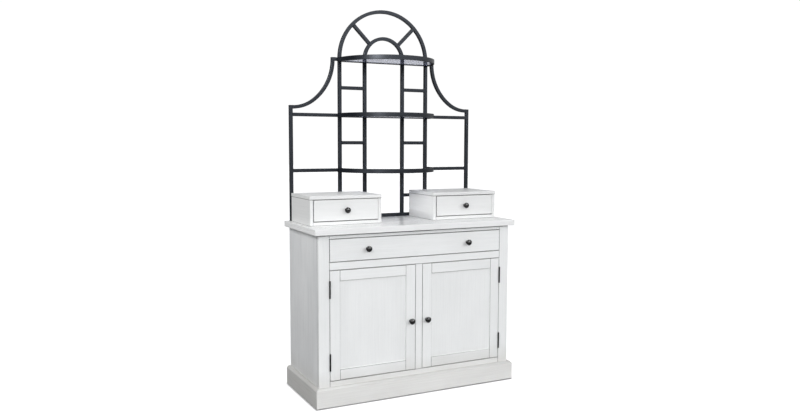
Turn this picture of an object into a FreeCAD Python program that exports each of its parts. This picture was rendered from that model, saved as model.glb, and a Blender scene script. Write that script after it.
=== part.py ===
"""Bakers rack: a white counter cabinet with a wide drawer over two doors, two small drawer boxes
standing on the counter, and a square-tube steel rack with an arched top and three half-round
glass shelves.

Millimetres. +X is right, +Y is back and +Z is up. The origin is on the floor, at the centre of the
whole outline. Every piece of the left half is the mirror image of one on the right.
"""
import FreeCAD
import Part
import math
import os
from FreeCAD import Vector

os.makedirs("parts", exist_ok=True)

# ---- Cabinet body ----
counter_height = 914.4          # top of the counter above the floor
counter_thickness = 31.75
counter_overhang_side = 25.4
counter_overhang_front = 25.4
counter_overhang_back = 10.0
body_width = 1133.0
body_depth = 456.0
side_thickness = 18.0
back_thickness = 6.0
back_rabbet = 9.0               # how far the back panel laps into each side panel
board_thickness = 16.0          # bottom panel, drawer shelf, partition and inner shelves
bottom_panel_drop = 2.0         # top of the bottom panel below the door opening

# ---- Face frame ----
face_thickness = 20.0
stile_width = 58.0
centre_stile_width = 40.0
door_opening_bottom = 132.0
middle_rail_height = 40.0
drawer_opening_height = 119.0
top_rail_height = 21.65
bottom_rail_height = 52.0
drawer_shelf_rise = 8.0         # underside of the drawer shelf above the door opening

# ---- Plinth and glides ----
plinth_projection = 23.0
plinth_top = 105.0
plinth_chamfer = 10.0
glide_height = 4.0
glide_radius = 15.0
glide_inset_front = 20.0
glide_inset_back = 40.0

# ---- Doors ----
door_gap = 2.0
door_thickness = 20.0
door_stile_width = 55.0
door_top_rail = 55.0
door_bottom_rail = 53.0
door_panel_thickness = 8.0
door_panel_recess = 7.0
panel_groove_depth = 6.0
panel_edge_gap = 0.5            # round the edge of a panel, in the depth of its groove
panel_face_gap = 0.2            # across the thickness of a panel, on its loose side
door_knob_height = 398.5
door_knob_offset = 47.6         # centre of each knob from the middle of the cabinet

# ---- Hinges ----
hinge_length = 88.9
hinge_inset = 53.5              # from the top or bottom of the door opening to the hinge
knuckle_radius = 4.0
knuckle_count = 5
knuckle_gap = 0.2
hinge_proud = 4.3               # hinge axis in front of the door's face
hinge_bore_radius = 1.85
hinge_pin_radius = 1.8
hinge_tip_radius = 3.2          # button on top of each pin
hinge_tip_height = 1.6
leaf_thickness = 1.5
leaf_depth = 17.0
leaf_spacing = 0.6              # between the two closed leaves
leaf_start = 0.3                # from the door's face back to the edge of each leaf
mortise_clearance = 0.1

# ---- Magnetic catches ----
catch_offset = 60.0             # centre of each catch from the middle of the cabinet
catch_width = 40.0
catch_depth = 14.0
catch_height = 34.0
strike_width = 30.0
strike_height = 16.0
strike_thickness = 1.2
strike_drop = 4.0               # top of the strike plate below the top of the door
catch_gap = 0.3

# ---- Inner shelves ----
shelf_board_share = 0.488       # height of the shelf as a share of the door opening
shelf_board_setback = 45.0
shelf_board_gap = 1.0
shelf_pin_radius = 2.5
shelf_pin_length = 16.0
shelf_pin_inset = 40.0
shelf_pin_clearance = 0.1

# ---- Wide drawer ----
drawer_gap = 2.0
drawer_side_thickness = 12.0
drawer_side_height = 90.0
drawer_side_rise = 10.0         # underside of the drawer sides above the drawer opening's bottom
drawer_back_space = 30.0        # behind the drawer box
drawer_bottom_thickness = 6.0
drawer_bottom_rise = 9.0
drawer_groove_depth = 5.0
drawer_knob_offset = 298.0

# ---- Drawer slides ----
slide_thickness = 12.7
slide_height = 45.7
slide_metal_thickness = 1.2
slide_lip = 2.7
slide_clearance = 0.3
slide_hook_depth = 3.0
packing_rail_height = 60.0
slide_setback = 5.0             # front end of the slide behind the face frame

# ---- Small drawer boxes ----
box_inner_x = 158.5             # from the middle of the cabinet to the near side of each box
box_width = 402.5
box_depth = 296.5
box_rack_gap = 5.8              # between the boxes and the rack
box_height = 153.0
box_side_thickness = 17.75
box_top_thickness = 18.0
box_bottom_thickness = 19.8
box_back_thickness = 10.0
box_top_overhang = 1.5
small_drawer_gap = 1.5
small_drawer_front_thickness = 18.0
small_drawer_side_thickness = 10.0
small_drawer_side_height = 85.0
small_drawer_back_gap = 6.0
small_drawer_running_gap = 0.3
small_drawer_bottom_thickness = 5.0
small_drawer_bottom_rise = 7.0
small_drawer_groove_depth = 4.0

# ---- Knobs ----
knob_radius = 15.9
knob_height = 28.6
knob_foot_radius = 10.0
knob_foot_height = 2.0
knob_neck_radius = 5.6
knob_neck_top_radius = 6.6
knob_neck_top_height = 12.2
knob_shoulder_radius = 11.0
knob_shoulder_height = 15.6
knob_rim_start_height = 17.4
knob_rim_end_height = 21.1
knob_lip_radius = 14.5
knob_lip_height = 23.4
knob_button_radius = 9.7
knob_button_height = 24.6
knob_groove_radius = 11.0
knob_groove_height = 24.1
screw_radius = 2.0
screw_grip_length = 9.0         # inside the knob
screw_hole_length = 10.0        # of the hole in the knob
screw_head_radius = 4.0
screw_head_height = 2.5
screw_hole_radius = 2.3
screw_thread_clearance = 0.1

# ---- Rack ----
tube = 19.05
tube_wall = 1.5
tube_corner = 2.0
rack_inset = 11.65              # back of the rack in from the counter's back edge
outer_post_x = 555.7
main_post_x = 270.9
inner_post_x = 118.6
arch_rise = 9.8                 # centre of the main arch above the middle of the top shelf
inner_arch_rise = 3.0           # centre of the inner arch above that of the main one
first_rung_height = 121.8       # lowest rung above the counter
bar_pitch = 152.4               # step from one rung or bar to the next
wing_start_rise = 40.6          # lower end of the wing arms above the higher wing bars
wing_end_rise = 3.8             # upper end of the wing arms above the middle of the top shelf
wing_end_x = 311.5
wing_blend_angle = 35.0         # where the arm's two arcs meet
spoke_angle = 45.0
weld_gap = 0.3

# ---- Rack shelves ----
rim_radius = 285.0
rim_thickness = 4.0
rim_height = 24.0
rim_corner = 3.0
rim_ear_end = 261.5             # inner end of the ear that lies on the main post
ledge_width = 12.0
ledge_thickness = 3.0
back_ledge_width = 20.0
glass_thickness = 5.0
glass_clearance = 0.5

# ---- Bolts ----
bolt_radius = 3.0
shelf_bolt_head_radius = 5.0
shelf_bolt_head_height = 3.2
shelf_bolt_rise = 15.5          # above the underside of the rim
shelf_bolt_length = 13.0
bolt_fit = 0.2
counter_bolt_head_radius = 5.0
counter_bolt_head_height = 3.5
counter_bolt_grip_length = 12.0       # past the top of the counter
counter_bolt_hole = 3.5
rack_bolt_x = (200.0, 430.0)
box_bolt_spacing = 260.0

# ---- Places worked out from the sizes above ----
front_reach = max(plinth_projection, counter_overhang_front, knob_height)
overall_depth = front_reach + body_depth + counter_overhang_back
face_y = -overall_depth / 2 + front_reach
inner_y = face_y + face_thickness
back_y = face_y + body_depth
panel_y = back_y - back_thickness
half_body = body_width / 2
inside_x = half_body - side_thickness
opening_x = half_body - stile_width
counter_bottom = counter_height - counter_thickness
drawer_opening_top = counter_bottom - top_rail_height
drawer_opening_bottom = drawer_opening_top - drawer_opening_height
door_opening_top = drawer_opening_bottom - middle_rail_height
shelf_board_height = door_opening_bottom + (door_opening_top - door_opening_bottom) * shelf_board_share
bottom_panel_top = door_opening_bottom - bottom_panel_drop
bottom_panel_bottom = bottom_panel_top - board_thickness
drawer_shelf_bottom = door_opening_top + drawer_shelf_rise
slide_z = drawer_opening_bottom + drawer_side_rise + drawer_side_height / 2
rack_back = back_y + counter_overhang_back - rack_inset
rack_front = rack_back - tube
rack_middle = rack_back - tube / 2
box_back = rack_front - box_rack_gap
box_front = box_back - box_depth
drawer_end = panel_y - drawer_back_space
half_tube = tube / 2
bottom_bar_top = counter_height + tube
hinge_x = opening_x - door_gap / 2
hinge_y = face_y - hinge_proud
rung_heights = [counter_height + first_rung_height + bar_pitch * n for n in (0, 2, 4)]
bar_heights = [counter_height + first_rung_height + bar_pitch * n for n in (1, 3)]
shelf_heights = [counter_height + first_rung_height + bar_pitch * n for n in (1, 3, 5)]
arch_z = shelf_heights[-1] + arch_rise
inner_arch_z = arch_z + inner_arch_rise
wing_start_z = bar_heights[-1] + wing_start_rise
wing_end_z = shelf_heights[-1] + wing_end_rise


# ---- Helpers ----
def block(x0, x1, y0, y1, z0, z1):
    """A rectangular board between two corners."""
    return Part.makeBox(x1 - x0, y1 - y0, z1 - z0, Vector(x0, y0, z0))


def rod(radius, start, direction, length):
    """A round bar from a point, along a direction."""
    return Part.makeCylinder(radius, length, Vector(*start), Vector(*direction))


def mirrored(shape):
    """The same piece on the other side of the cabinet."""
    return shape.mirror(Vector(0, 0, 0), Vector(1, 0, 0))


def both(shape):
    """A piece and its mirror image."""
    return [shape, mirrored(shape)]


def save(name, *shapes):
    """Write one node, which may hold several separate solids."""
    solids = [solid for shape in shapes for solid in shape.Solids]
    Part.makeCompound(solids).exportStep("parts/" + name + ".step")


def save_pair(stem, right_shape, ending=""):
    """Write the right-hand node and its left-hand mirror image."""
    save(stem + "_right" + ending, right_shape)
    save(stem + "_left" + ending, mirrored(right_shape))


def region(points, y0, y1):
    """A solid from a closed outline in X and Z, extruded along Y.

    Each entry is a corner (x, z), or (x, z, mid_x, mid_z) for an arc that reaches (x, z) through
    a middle point.
    """
    edges = []
    previous = points[-1]
    for point in points:
        start = Vector(previous[0], y0, previous[1])
        end = Vector(point[0], y0, point[1])
        if len(point) == 4:
            middle = Vector(point[2], y0, point[3])
            edges.append(Part.Arc(start, middle, end).toShape())
        else:
            edges.append(Part.LineSegment(start, end).toShape())
        previous = point
    return Part.Face(Part.Wire(edges)).extrude(Vector(0, y1 - y0, 0))


def ease_tube(solid):
    """Round the long edges of a tube that was extruded along Y or that runs straight."""
    box_of = solid.BoundBox
    sides = (box_of.YMin, box_of.YMax)
    long_edges = []
    for edge in solid.Edges:
        bounds = edge.BoundBox
        on_side = bounds.YLength < 1e-6 and min(abs(bounds.YMin - side) for side in sides) < 1e-6
        is_end = abs(edge.Length - tube) < 1e-3
        if on_side and not is_end:
            long_edges.append(edge)
    return solid.makeFillet(tube_corner, long_edges)


def straight_tube(x0, x1, z0, z1, capped_top=False):
    """A straight hollow tube in the rack's plane, along X or Z whichever is longer."""
    outer = ease_tube(block(x0, x1, rack_front, rack_back, z0, z1))
    trim_x = tube_wall if z1 - z0 > x1 - x0 else 0.0
    trim_z = tube_wall - trim_x
    top = z1 - (tube_wall if capped_top else trim_z)
    bore = block(x0 + trim_x, x1 - trim_x, rack_front + tube_wall, rack_back - tube_wall,
                 z0 + trim_z, top)
    return outer.cut(bore)


# ---- Cabinet body ----
def make_counter():
    top = block(-half_body - counter_overhang_side, half_body + counter_overhang_side,
                face_y - counter_overhang_front, back_y + counter_overhang_back,
                counter_bottom, counter_height)
    for x, y in counter_bolt_places():
        top = top.cut(rod(counter_bolt_hole, (x, y, counter_bottom), (0, 0, 1), counter_thickness))
    save("counter_top", top)


def counter_bolt_places():
    """Bolts up through the counter: along the rack's bottom bar and under each small box."""
    box_middle_x = box_inner_x + box_width / 2
    box_middle_y = box_back - box_depth / 2
    places = [(x, rack_middle) for x in rack_bolt_x]
    places += [(box_middle_x + side * box_bolt_spacing / 2, box_middle_y) for side in (-1, 1)]
    return places + [(-x, y) for x, y in places]


def counter_bolt_holes(z, length):
    """The bolts' holes in whatever stands on the counter."""
    hole_radius = bolt_radius + bolt_fit / 2
    return Part.makeCompound([rod(hole_radius, (x, y, z), (0, 0, 1), length)
                              for x, y in counter_bolt_places()])


def make_counter_bolts():
    bolts = []
    for x, y in counter_bolt_places():
        head = rod(counter_bolt_head_radius, (x, y, counter_bottom), (0, 0, -1),
                   counter_bolt_head_height)
        shank = rod(bolt_radius, (x, y, counter_bottom), (0, 0, 1),
                    counter_thickness + counter_bolt_grip_length)
        bolts.append(head.fuse(shank))
    save("counter_bolts", *bolts)


def shelf_pin_places():
    """Each pin's x direction and start, on the partition and on the side panel."""
    depth_front = inner_y + shelf_board_setback + shelf_pin_inset
    depth_back = panel_y - shelf_pin_inset
    height = shelf_board_height - shelf_pin_radius
    half_partition = board_thickness / 2
    places = []
    for y in (depth_front, depth_back):
        places.append((half_partition - shelf_pin_length / 2, y, height))
        places.append((inside_x - shelf_pin_length / 2, y, height))
    return places


def shelf_pin_holes():
    """Sockets half a pin deep, on both halves of the cabinet."""
    radius = shelf_pin_radius + shelf_pin_clearance
    holes = [rod(radius, place, (1, 0, 0), shelf_pin_length) for place in shelf_pin_places()]
    compound = Part.makeCompound(holes)
    return [compound, mirrored(compound)]


def make_carcass():
    side = block(inside_x, half_body, inner_y, back_y, glide_height, counter_bottom)
    side = side.cut(block(inside_x, inside_x + back_rabbet, panel_y, back_y,
                          glide_height, counter_bottom))
    partition = block(-board_thickness / 2, board_thickness / 2, inner_y, panel_y,
                      bottom_panel_top, drawer_shelf_bottom)
    for holes in shelf_pin_holes():
        side = side.cut(holes)
        partition = partition.cut(holes)
    save_pair("side_panel", side)
    save("centre_partition", partition)
    save("back_panel", block(-inside_x - back_rabbet, inside_x + back_rabbet, panel_y, back_y,
                             bottom_panel_bottom, counter_bottom))
    save("bottom_panel", block(-inside_x, inside_x, inner_y, panel_y,
                               bottom_panel_bottom, bottom_panel_top))
    save("drawer_shelf", block(-inside_x, inside_x, inner_y, panel_y,
                               drawer_shelf_bottom, drawer_shelf_bottom + board_thickness))


def make_inner_shelves():
    shelf = block(board_thickness / 2 + shelf_board_gap, inside_x - shelf_board_gap,
                  inner_y + shelf_board_setback, panel_y - shelf_board_gap,
                  shelf_board_height, shelf_board_height + board_thickness)
    save("inner_shelves", *both(shelf))
    pins = []
    for place in shelf_pin_places():
        pins += both(rod(shelf_pin_radius, place, (1, 0, 0), shelf_pin_length))
    save("shelf_pins", *pins)


def hinge_centres():
    """Heights of the middle of the lower and the upper hinge."""
    return (door_opening_bottom + hinge_inset + hinge_length / 2,
            door_opening_top - hinge_inset - hinge_length / 2)


def leaf_x(side):
    """Near and far face of a right-hand leaf: side 1 is on the stile, side -1 on the door."""
    near = hinge_x + side * leaf_spacing / 2
    far = near + side * leaf_thickness
    return min(near, far), max(near, far)


def leaf_mortises(side):
    """The shallow pockets that the leaves lie in, on the right-hand stile or door."""
    x0, x1 = leaf_x(side)
    pockets = []
    for z in hinge_centres():
        pockets.append(block(x0, x1, face_y,
                             face_y + leaf_start + leaf_depth + mortise_clearance,
                             z - hinge_length / 2 - mortise_clearance,
                             z + hinge_length / 2 + mortise_clearance))
    return Part.makeCompound(pockets)


def make_face_frame():
    stile = block(opening_x, half_body, face_y, inner_y, glide_height, counter_bottom)
    save_pair("face_stile", stile.cut(leaf_mortises(1)))
    save("face_centre_stile", block(-centre_stile_width / 2, centre_stile_width / 2, face_y, inner_y,
                                    door_opening_bottom, door_opening_top))
    rails = []
    for bottom, top in ((door_opening_bottom - bottom_rail_height, door_opening_bottom),
                        (door_opening_top, drawer_opening_bottom),
                        (drawer_opening_top, counter_bottom)):
        rails.append(block(-opening_x, opening_x, face_y, inner_y, bottom, top))
    save("face_rails", *rails)


def make_plinth():
    """Three boards round the foot, mitred at the front corners, with a chamfered top edge."""
    outer_x = half_body + plinth_projection
    outer_y = face_y - plinth_projection
    slope_x = outer_x - plinth_chamfer
    side = region([(half_body, glide_height), (outer_x, glide_height),
                   (outer_x, plinth_top - plinth_chamfer), (slope_x, plinth_top),
                   (half_body, plinth_top)], outer_y, back_y)
    corners = [Vector(outer_x, outer_y, 0), Vector(half_body, face_y, 0),
               Vector(-half_body, face_y, 0), Vector(-outer_x, outer_y, 0)]
    front_plan = Part.Face(Part.makePolygon(corners + corners[:1]))
    front_space = front_plan.extrude(Vector(0, 0, plinth_top))
    front = block(-outer_x, outer_x, outer_y, face_y, glide_height, plinth_top)
    chamfered = [edge for edge in front.Edges
                 if edge.BoundBox.ZMin > plinth_top - 1e-6 and edge.BoundBox.YMax < outer_y + 1e-6]
    front = front.makeChamfer(plinth_chamfer, chamfered).common(front_space)
    side = side.cut(front_space)
    save("plinth_front", front)
    save("plinth_sides", *both(side))


def make_glides():
    x = (inside_x + half_body + plinth_projection) / 2
    glides = []
    for y in (face_y + glide_inset_front, back_y - glide_inset_back):
        glides += both(rod(glide_radius, (x, y, 0), (0, 0, 1), glide_height))
    save("floor_glides", *glides)


# ---- Knobs and their screws ----
def knob(x, face, z, thickness):
    """A turned knob on a face that looks along -Y, with the screw that holds it from behind."""
    def at(radius, height):
        return Vector(radius, -height, 0)

    def bend(start, middle, end):
        return Part.Arc(at(*start), at(*middle), at(*end)).toShape()

    def line(start, end):
        return Part.LineSegment(at(*start), at(*end)).toShape()

    foot = (knob_foot_radius, knob_foot_height)
    neck = (knob_neck_radius, (knob_foot_height + knob_neck_top_height) / 2)
    neck_top = (knob_neck_top_radius, knob_neck_top_height)
    shoulder = (knob_shoulder_radius, knob_shoulder_height)
    flare = (knob_radius, knob_rim_start_height)
    rim = (knob_radius, knob_rim_end_height)
    lip = (knob_lip_radius, knob_lip_height)
    groove = (knob_groove_radius, knob_groove_height)
    button = (knob_button_radius, knob_button_height)
    crown = knob_height - knob_button_height
    crown_radius = (knob_button_radius ** 2 + crown ** 2) / (2 * crown)
    half_crown = math.asin(knob_button_radius / crown_radius) / 2
    crown_middle = (crown_radius * math.sin(half_crown),
                    knob_height - crown_radius * (1 - math.cos(half_crown)))
    edges = [line((0, 0), (knob_foot_radius, 0)),
             line((knob_foot_radius, 0), foot),
             bend(foot, neck, neck_top),
             bend(neck_top, shoulder, flare),
             line(flare, rim),
             bend(rim, lip, groove),
             line(groove, button),
             bend(button, crown_middle, (0, knob_height)),
             line((0, knob_height), (0, 0))]
    body = Part.Face(Part.Wire(edges)).revolve(Vector(0, 0, 0), Vector(0, 1, 0), 360)
    hole_radius = screw_radius + screw_thread_clearance
    body = body.cut(rod(hole_radius, (0, 0, 0), (0, -1, 0), screw_hole_length))
    shank = rod(screw_radius, (0, thickness, 0), (0, -1, 0), thickness + screw_grip_length)
    head = rod(screw_head_radius, (0, thickness, 0), (0, 1, 0), screw_head_height)
    pair = Part.makeCompound([body, shank.fuse(head)])
    pair.translate(Vector(x, face, z))
    return pair


def knob_hole(x, face, z, thickness):
    """The screw's hole through the wood."""
    return rod(screw_hole_radius, (x, face, z), (0, 1, 0), thickness)


# ---- Doors and hinges ----
def make_doors():
    edge = opening_x - door_gap
    centre_edge = centre_stile_width / 2 + door_gap
    bottom = door_opening_bottom + door_gap
    top = door_opening_top - door_gap
    back = face_y + door_thickness
    panel_front = face_y + door_panel_recess
    panel_back = panel_front + door_panel_thickness
    panel_x = (centre_edge + door_stile_width, edge - door_stile_width)
    panel_z = (bottom + door_bottom_rail, top - door_top_rail)
    groove = block(panel_x[0] - panel_groove_depth, panel_x[1] + panel_groove_depth,
                   panel_front, panel_back + panel_face_gap,
                   panel_z[0] - panel_groove_depth, panel_z[1] + panel_groove_depth)
    inset = panel_groove_depth - panel_edge_gap
    panel = block(panel_x[0] - inset, panel_x[1] + inset, panel_front, panel_back,
                  panel_z[0] - inset, panel_z[1] + inset)
    knob_x = door_knob_offset
    drilled = knob_hole(knob_x, face_y, door_knob_height, door_thickness)
    lock_stile = block(centre_edge, panel_x[0], face_y, back, bottom, top).cut(groove).cut(drilled)
    hinge_stile = block(panel_x[1], edge, face_y, back, bottom, top).cut(groove)
    hinge_stile = hinge_stile.cut(leaf_mortises(-1))
    low_rail = block(panel_x[0], panel_x[1], face_y, back, bottom, panel_z[0]).cut(groove)
    high_rail = block(panel_x[0], panel_x[1], face_y, back, panel_z[1], top).cut(groove)
    save_pair("door", Part.makeCompound([lock_stile, hinge_stile, low_rail, high_rail]), "_frame")
    save_pair("door", panel, "_panel")
    save_pair("door", knob(knob_x, face_y, door_knob_height, door_thickness), "_knob")
    strike = block(catch_offset - strike_width / 2, catch_offset + strike_width / 2,
                   back, back + strike_thickness,
                   top - strike_drop - strike_height, top - strike_drop)
    leaves = [hinge_leaf(z, -1) for z in hinge_centres()]
    save_pair("door", Part.makeCompound(leaves + [strike]), "_fittings")
    catch_y = back + strike_thickness + catch_gap
    catch = block(catch_offset - catch_width / 2, catch_offset + catch_width / 2,
                  catch_y, catch_y + catch_depth,
                  drawer_shelf_bottom - catch_height, drawer_shelf_bottom)
    save("magnetic_catches", *both(catch))


def hinge_leaf(centre_z, side):
    """One right-hand leaf with its knuckles: odd knuckles on the stile, even ones on the door."""
    x0, x1 = leaf_x(side)
    low = centre_z - hinge_length / 2
    leaf = block(x0, x1, face_y + leaf_start, face_y + leaf_start + leaf_depth,
                 low, low + hinge_length)
    pitch = hinge_length / knuckle_count
    for n in range(knuckle_count):
        if (n % 2 == 0) != (side == 1):
            continue
        z0 = low + n * pitch + knuckle_gap / 2
        length = pitch - knuckle_gap
        knuckle = rod(knuckle_radius, (hinge_x, hinge_y, z0), (0, 0, 1), length)
        neck = block(x0, x1, hinge_y, face_y + leaf_start, z0, z0 + length)
        leaf = leaf.fuse(knuckle).fuse(neck)
    return leaf.cut(rod(hinge_bore_radius, (hinge_x, hinge_y, low), (0, 0, 1), hinge_length))


def make_hinges():
    frame_leaves = []
    pins = []
    for z in hinge_centres():
        frame_leaves += both(hinge_leaf(z, 1))
        low = z - hinge_length / 2
        top = z + hinge_length / 2 - knuckle_gap / 2
        tip = rod(hinge_tip_radius, (hinge_x, hinge_y, top), (0, 0, 1), hinge_tip_height)
        shank = rod(hinge_pin_radius, (hinge_x, hinge_y, low), (0, 0, 1), top - low)
        pins += both(shank.fuse(tip))
    save("hinge_frame_leaves", *frame_leaves)
    save("hinge_pins", *pins)


# ---- Wide drawer and its slides ----
def make_wide_drawer():
    front_x = opening_x - drawer_gap
    low = drawer_opening_bottom + drawer_gap
    high = drawer_opening_top - drawer_gap
    side_outer = opening_x - slide_thickness
    side_inner = side_outer - drawer_side_thickness
    side_low = drawer_opening_bottom + drawer_side_rise
    side_high = side_low + drawer_side_height
    end_y = drawer_end
    floor_z = side_low + drawer_bottom_rise
    knob_z = (low + high) / 2
    groove = block(-side_inner - drawer_groove_depth, side_inner + drawer_groove_depth,
                   inner_y - drawer_groove_depth, end_y,
                   floor_z, floor_z + drawer_bottom_thickness)
    front = block(-front_x, front_x, face_y, inner_y, low, high).cut(groove)
    for x in (-drawer_knob_offset, drawer_knob_offset):
        front = front.cut(knob_hole(x, face_y, knob_z, face_thickness))
    side = block(side_inner, side_outer, inner_y, end_y, side_low, side_high).cut(groove)
    back = block(-side_inner, side_inner, end_y - drawer_side_thickness, end_y,
                 floor_z + drawer_bottom_thickness, side_high)
    inset = drawer_groove_depth - panel_edge_gap
    bottom = block(-side_inner - inset, side_inner + inset, inner_y - inset, end_y,
                   floor_z, floor_z + drawer_bottom_thickness - panel_face_gap)
    save("wide_drawer_front", front)
    save("wide_drawer_box", *both(side), back)
    save("wide_drawer_bottom", bottom)
    save("wide_drawer_knobs", *both(knob(drawer_knob_offset, face_y, knob_z, face_thickness)))


def make_slides():
    """Steel slides: a C-shaped member on the packing rail and a hooked one on the drawer side."""
    start = inner_y + slide_setback
    end = drawer_end
    web = opening_x - slide_metal_thickness
    half = slide_height / 2
    mouth = opening_x - slide_thickness + 2 * slide_metal_thickness
    lip_z = half - slide_metal_thickness - slide_lip

    def profile(pieces):
        whole = None
        for x0, x1, z0, z1 in pieces:
            piece = block(x0, x1, start, end, slide_z + z0, slide_z + z1)
            whole = piece if whole is None else whole.fuse(piece)
        return whole.removeSplitter()

    cabinet_member = profile([(web, opening_x, -half, half),
                              (mouth, web, half - slide_metal_thickness, half),
                              (mouth, web, -half, slide_metal_thickness - half),
                              (mouth, mouth + slide_metal_thickness, lip_z, half),
                              (mouth, mouth + slide_metal_thickness, -half, -lip_z)])
    drawer_side = opening_x - slide_thickness
    reach = web - slide_clearance - slide_metal_thickness
    arm = lip_z - slide_clearance
    hook = half - slide_metal_thickness - slide_clearance
    hook_x = mouth + slide_metal_thickness + slide_clearance
    drawer_member = profile([(drawer_side, drawer_side + slide_metal_thickness, -arm, arm),
                             (drawer_side, reach, arm - slide_metal_thickness, arm),
                             (drawer_side, reach, -arm, slide_metal_thickness - arm),
                             (hook_x, hook_x + slide_hook_depth, arm - slide_metal_thickness, hook),
                             (hook_x, hook_x + slide_hook_depth, -hook, slide_metal_thickness - arm)])
    packing = block(opening_x, inside_x, inner_y, panel_y,
                    slide_z - packing_rail_height / 2, slide_z + packing_rail_height / 2)
    save("slide_cabinet_members", *both(cabinet_member))
    save("slide_drawer_members", *both(drawer_member))
    save("slide_packing_rails", *both(packing))


# ---- Small drawer boxes on the counter ----
def make_small_boxes():
    x0 = box_inner_x
    x1 = box_inner_x + box_width
    front = box_front
    back = box_back
    top = counter_height + box_height
    under_top = top - box_top_thickness
    floor_z = counter_height + box_bottom_thickness
    inner_x0 = x0 + box_side_thickness
    inner_x1 = x1 - box_side_thickness
    floor = block(inner_x0, inner_x1, front, back, counter_height, floor_z)
    floor = floor.cut(counter_bolt_holes(counter_height, counter_bolt_grip_length))
    carcass = [block(x0, inner_x0, front, back, counter_height, under_top),
               block(inner_x1, x1, front, back, counter_height, under_top),
               floor,
               block(inner_x0, inner_x1, back - box_back_thickness, back, floor_z, under_top)]
    lid = block(x0 - box_top_overhang, x1 + box_top_overhang, front - box_top_overhang, back,
                under_top, top)
    save_pair("box", Part.makeCompound(carcass), "_carcass")
    save_pair("box", lid, "_top")

    gap = small_drawer_gap
    dx0 = inner_x0 + gap
    dx1 = inner_x1 - gap
    front_back = front + small_drawer_front_thickness
    end = back - box_back_thickness - small_drawer_back_gap
    run_z = floor_z + small_drawer_running_gap
    wall = small_drawer_side_thickness
    side_top = run_z + small_drawer_side_height
    bottom_z = run_z + small_drawer_bottom_rise
    middle_x = (dx0 + dx1) / 2
    knob_z = (floor_z + under_top) / 2
    groove = block(dx0 + wall - small_drawer_groove_depth, dx1 - wall + small_drawer_groove_depth,
                   front_back - small_drawer_groove_depth, end,
                   bottom_z, bottom_z + small_drawer_bottom_thickness)
    drawer_front = block(dx0, dx1, front, front_back, floor_z + gap, under_top - gap).cut(groove)
    drawer_front = drawer_front.cut(knob_hole(middle_x, front, knob_z, small_drawer_front_thickness))
    inset = small_drawer_groove_depth - panel_edge_gap
    walls = [block(dx0, dx0 + wall, front_back, end, run_z, side_top).cut(groove),
             block(dx1 - wall, dx1, front_back, end, run_z, side_top).cut(groove),
             block(dx0 + wall, dx1 - wall, end - wall, end,
                   bottom_z + small_drawer_bottom_thickness, side_top),
             block(dx0 + wall - inset, dx1 - wall + inset, front_back - inset, end,
                   bottom_z, bottom_z + small_drawer_bottom_thickness - panel_face_gap)]
    save_pair("small_drawer", drawer_front, "_front")
    save_pair("small_drawer", Part.makeCompound(walls), "_box")
    save_pair("small_drawer", knob(middle_x, front, knob_z, small_drawer_front_thickness), "_knob")


# ---- Rack ----
def hoop(radius, spring_z, half_width, y0, y1):
    """Two posts joined by a half circle, as a band of the given half width."""
    low = bottom_bar_top
    out = radius + half_width
    inn = radius - half_width
    return region([(-out, low), (-out, spring_z), (out, spring_z, 0, spring_z + out), (out, low),
                   (inn, low), (inn, spring_z), (-inn, spring_z, 0, spring_z + inn), (-inn, low)],
                  y0, y1)


def hollow_hoop(radius, spring_z):
    outer = ease_tube(hoop(radius, spring_z, half_tube, rack_front, rack_back))
    bore = hoop(radius, spring_z, half_tube - tube_wall,
                rack_front + tube_wall, rack_back - tube_wall)
    return outer.cut(bore)


def wing_band(half_width, end_z, y0, y1):
    """The curved wing arm: two tangent arcs, then a short upright end at the top.

    The arm leaves the outer post level and arrives upright beside the main post. The two radii
    follow from the arm's reach, its rise and the angle at which the arcs meet.
    """
    start_x = outer_post_x - half_tube
    reach = start_x - wing_end_x
    rise = wing_end_z - wing_start_z
    angle = math.radians(wing_blend_angle)
    sine, cosine = math.sin(angle), math.cos(angle)
    # reach = r1 * sine + r2 * (1 - sine);  rise = r1 * (1 - cosine) + r2 * cosine
    determinant = sine * cosine - (1 - sine) * (1 - cosine)
    r1 = (reach * cosine - rise * (1 - sine)) / determinant
    r2 = (rise * sine - reach * (1 - cosine)) / determinant
    centre_1 = (start_x, wing_start_z + r1)
    centre_2 = (wing_end_x + r2, wing_end_z)

    def on_first(radius, turned):
        return (centre_1[0] - radius * math.sin(turned), centre_1[1] - radius * math.cos(turned))

    def on_second(radius, turned):
        return (centre_2[0] - radius * math.sin(turned), centre_2[1] - radius * math.cos(turned))

    half_way_2 = (angle + math.pi / 2) / 2
    low_1, low_2 = r1 + half_width, r2 + half_width
    high_1, high_2 = r1 - half_width, r2 - half_width
    quarter = math.pi / 2
    return region([on_first(low_1, 0),
                   on_first(low_1, angle) + on_first(low_1, angle / 2),
                   on_second(low_2, quarter) + on_second(low_2, half_way_2),
                   (wing_end_x - half_width, end_z),
                   (wing_end_x + half_width, end_z),
                   on_second(high_2, quarter),
                   on_second(high_2, angle) + on_second(high_2, half_way_2),
                   on_first(high_1, 0) + on_first(high_1, angle / 2)], y0, y1)


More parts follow.
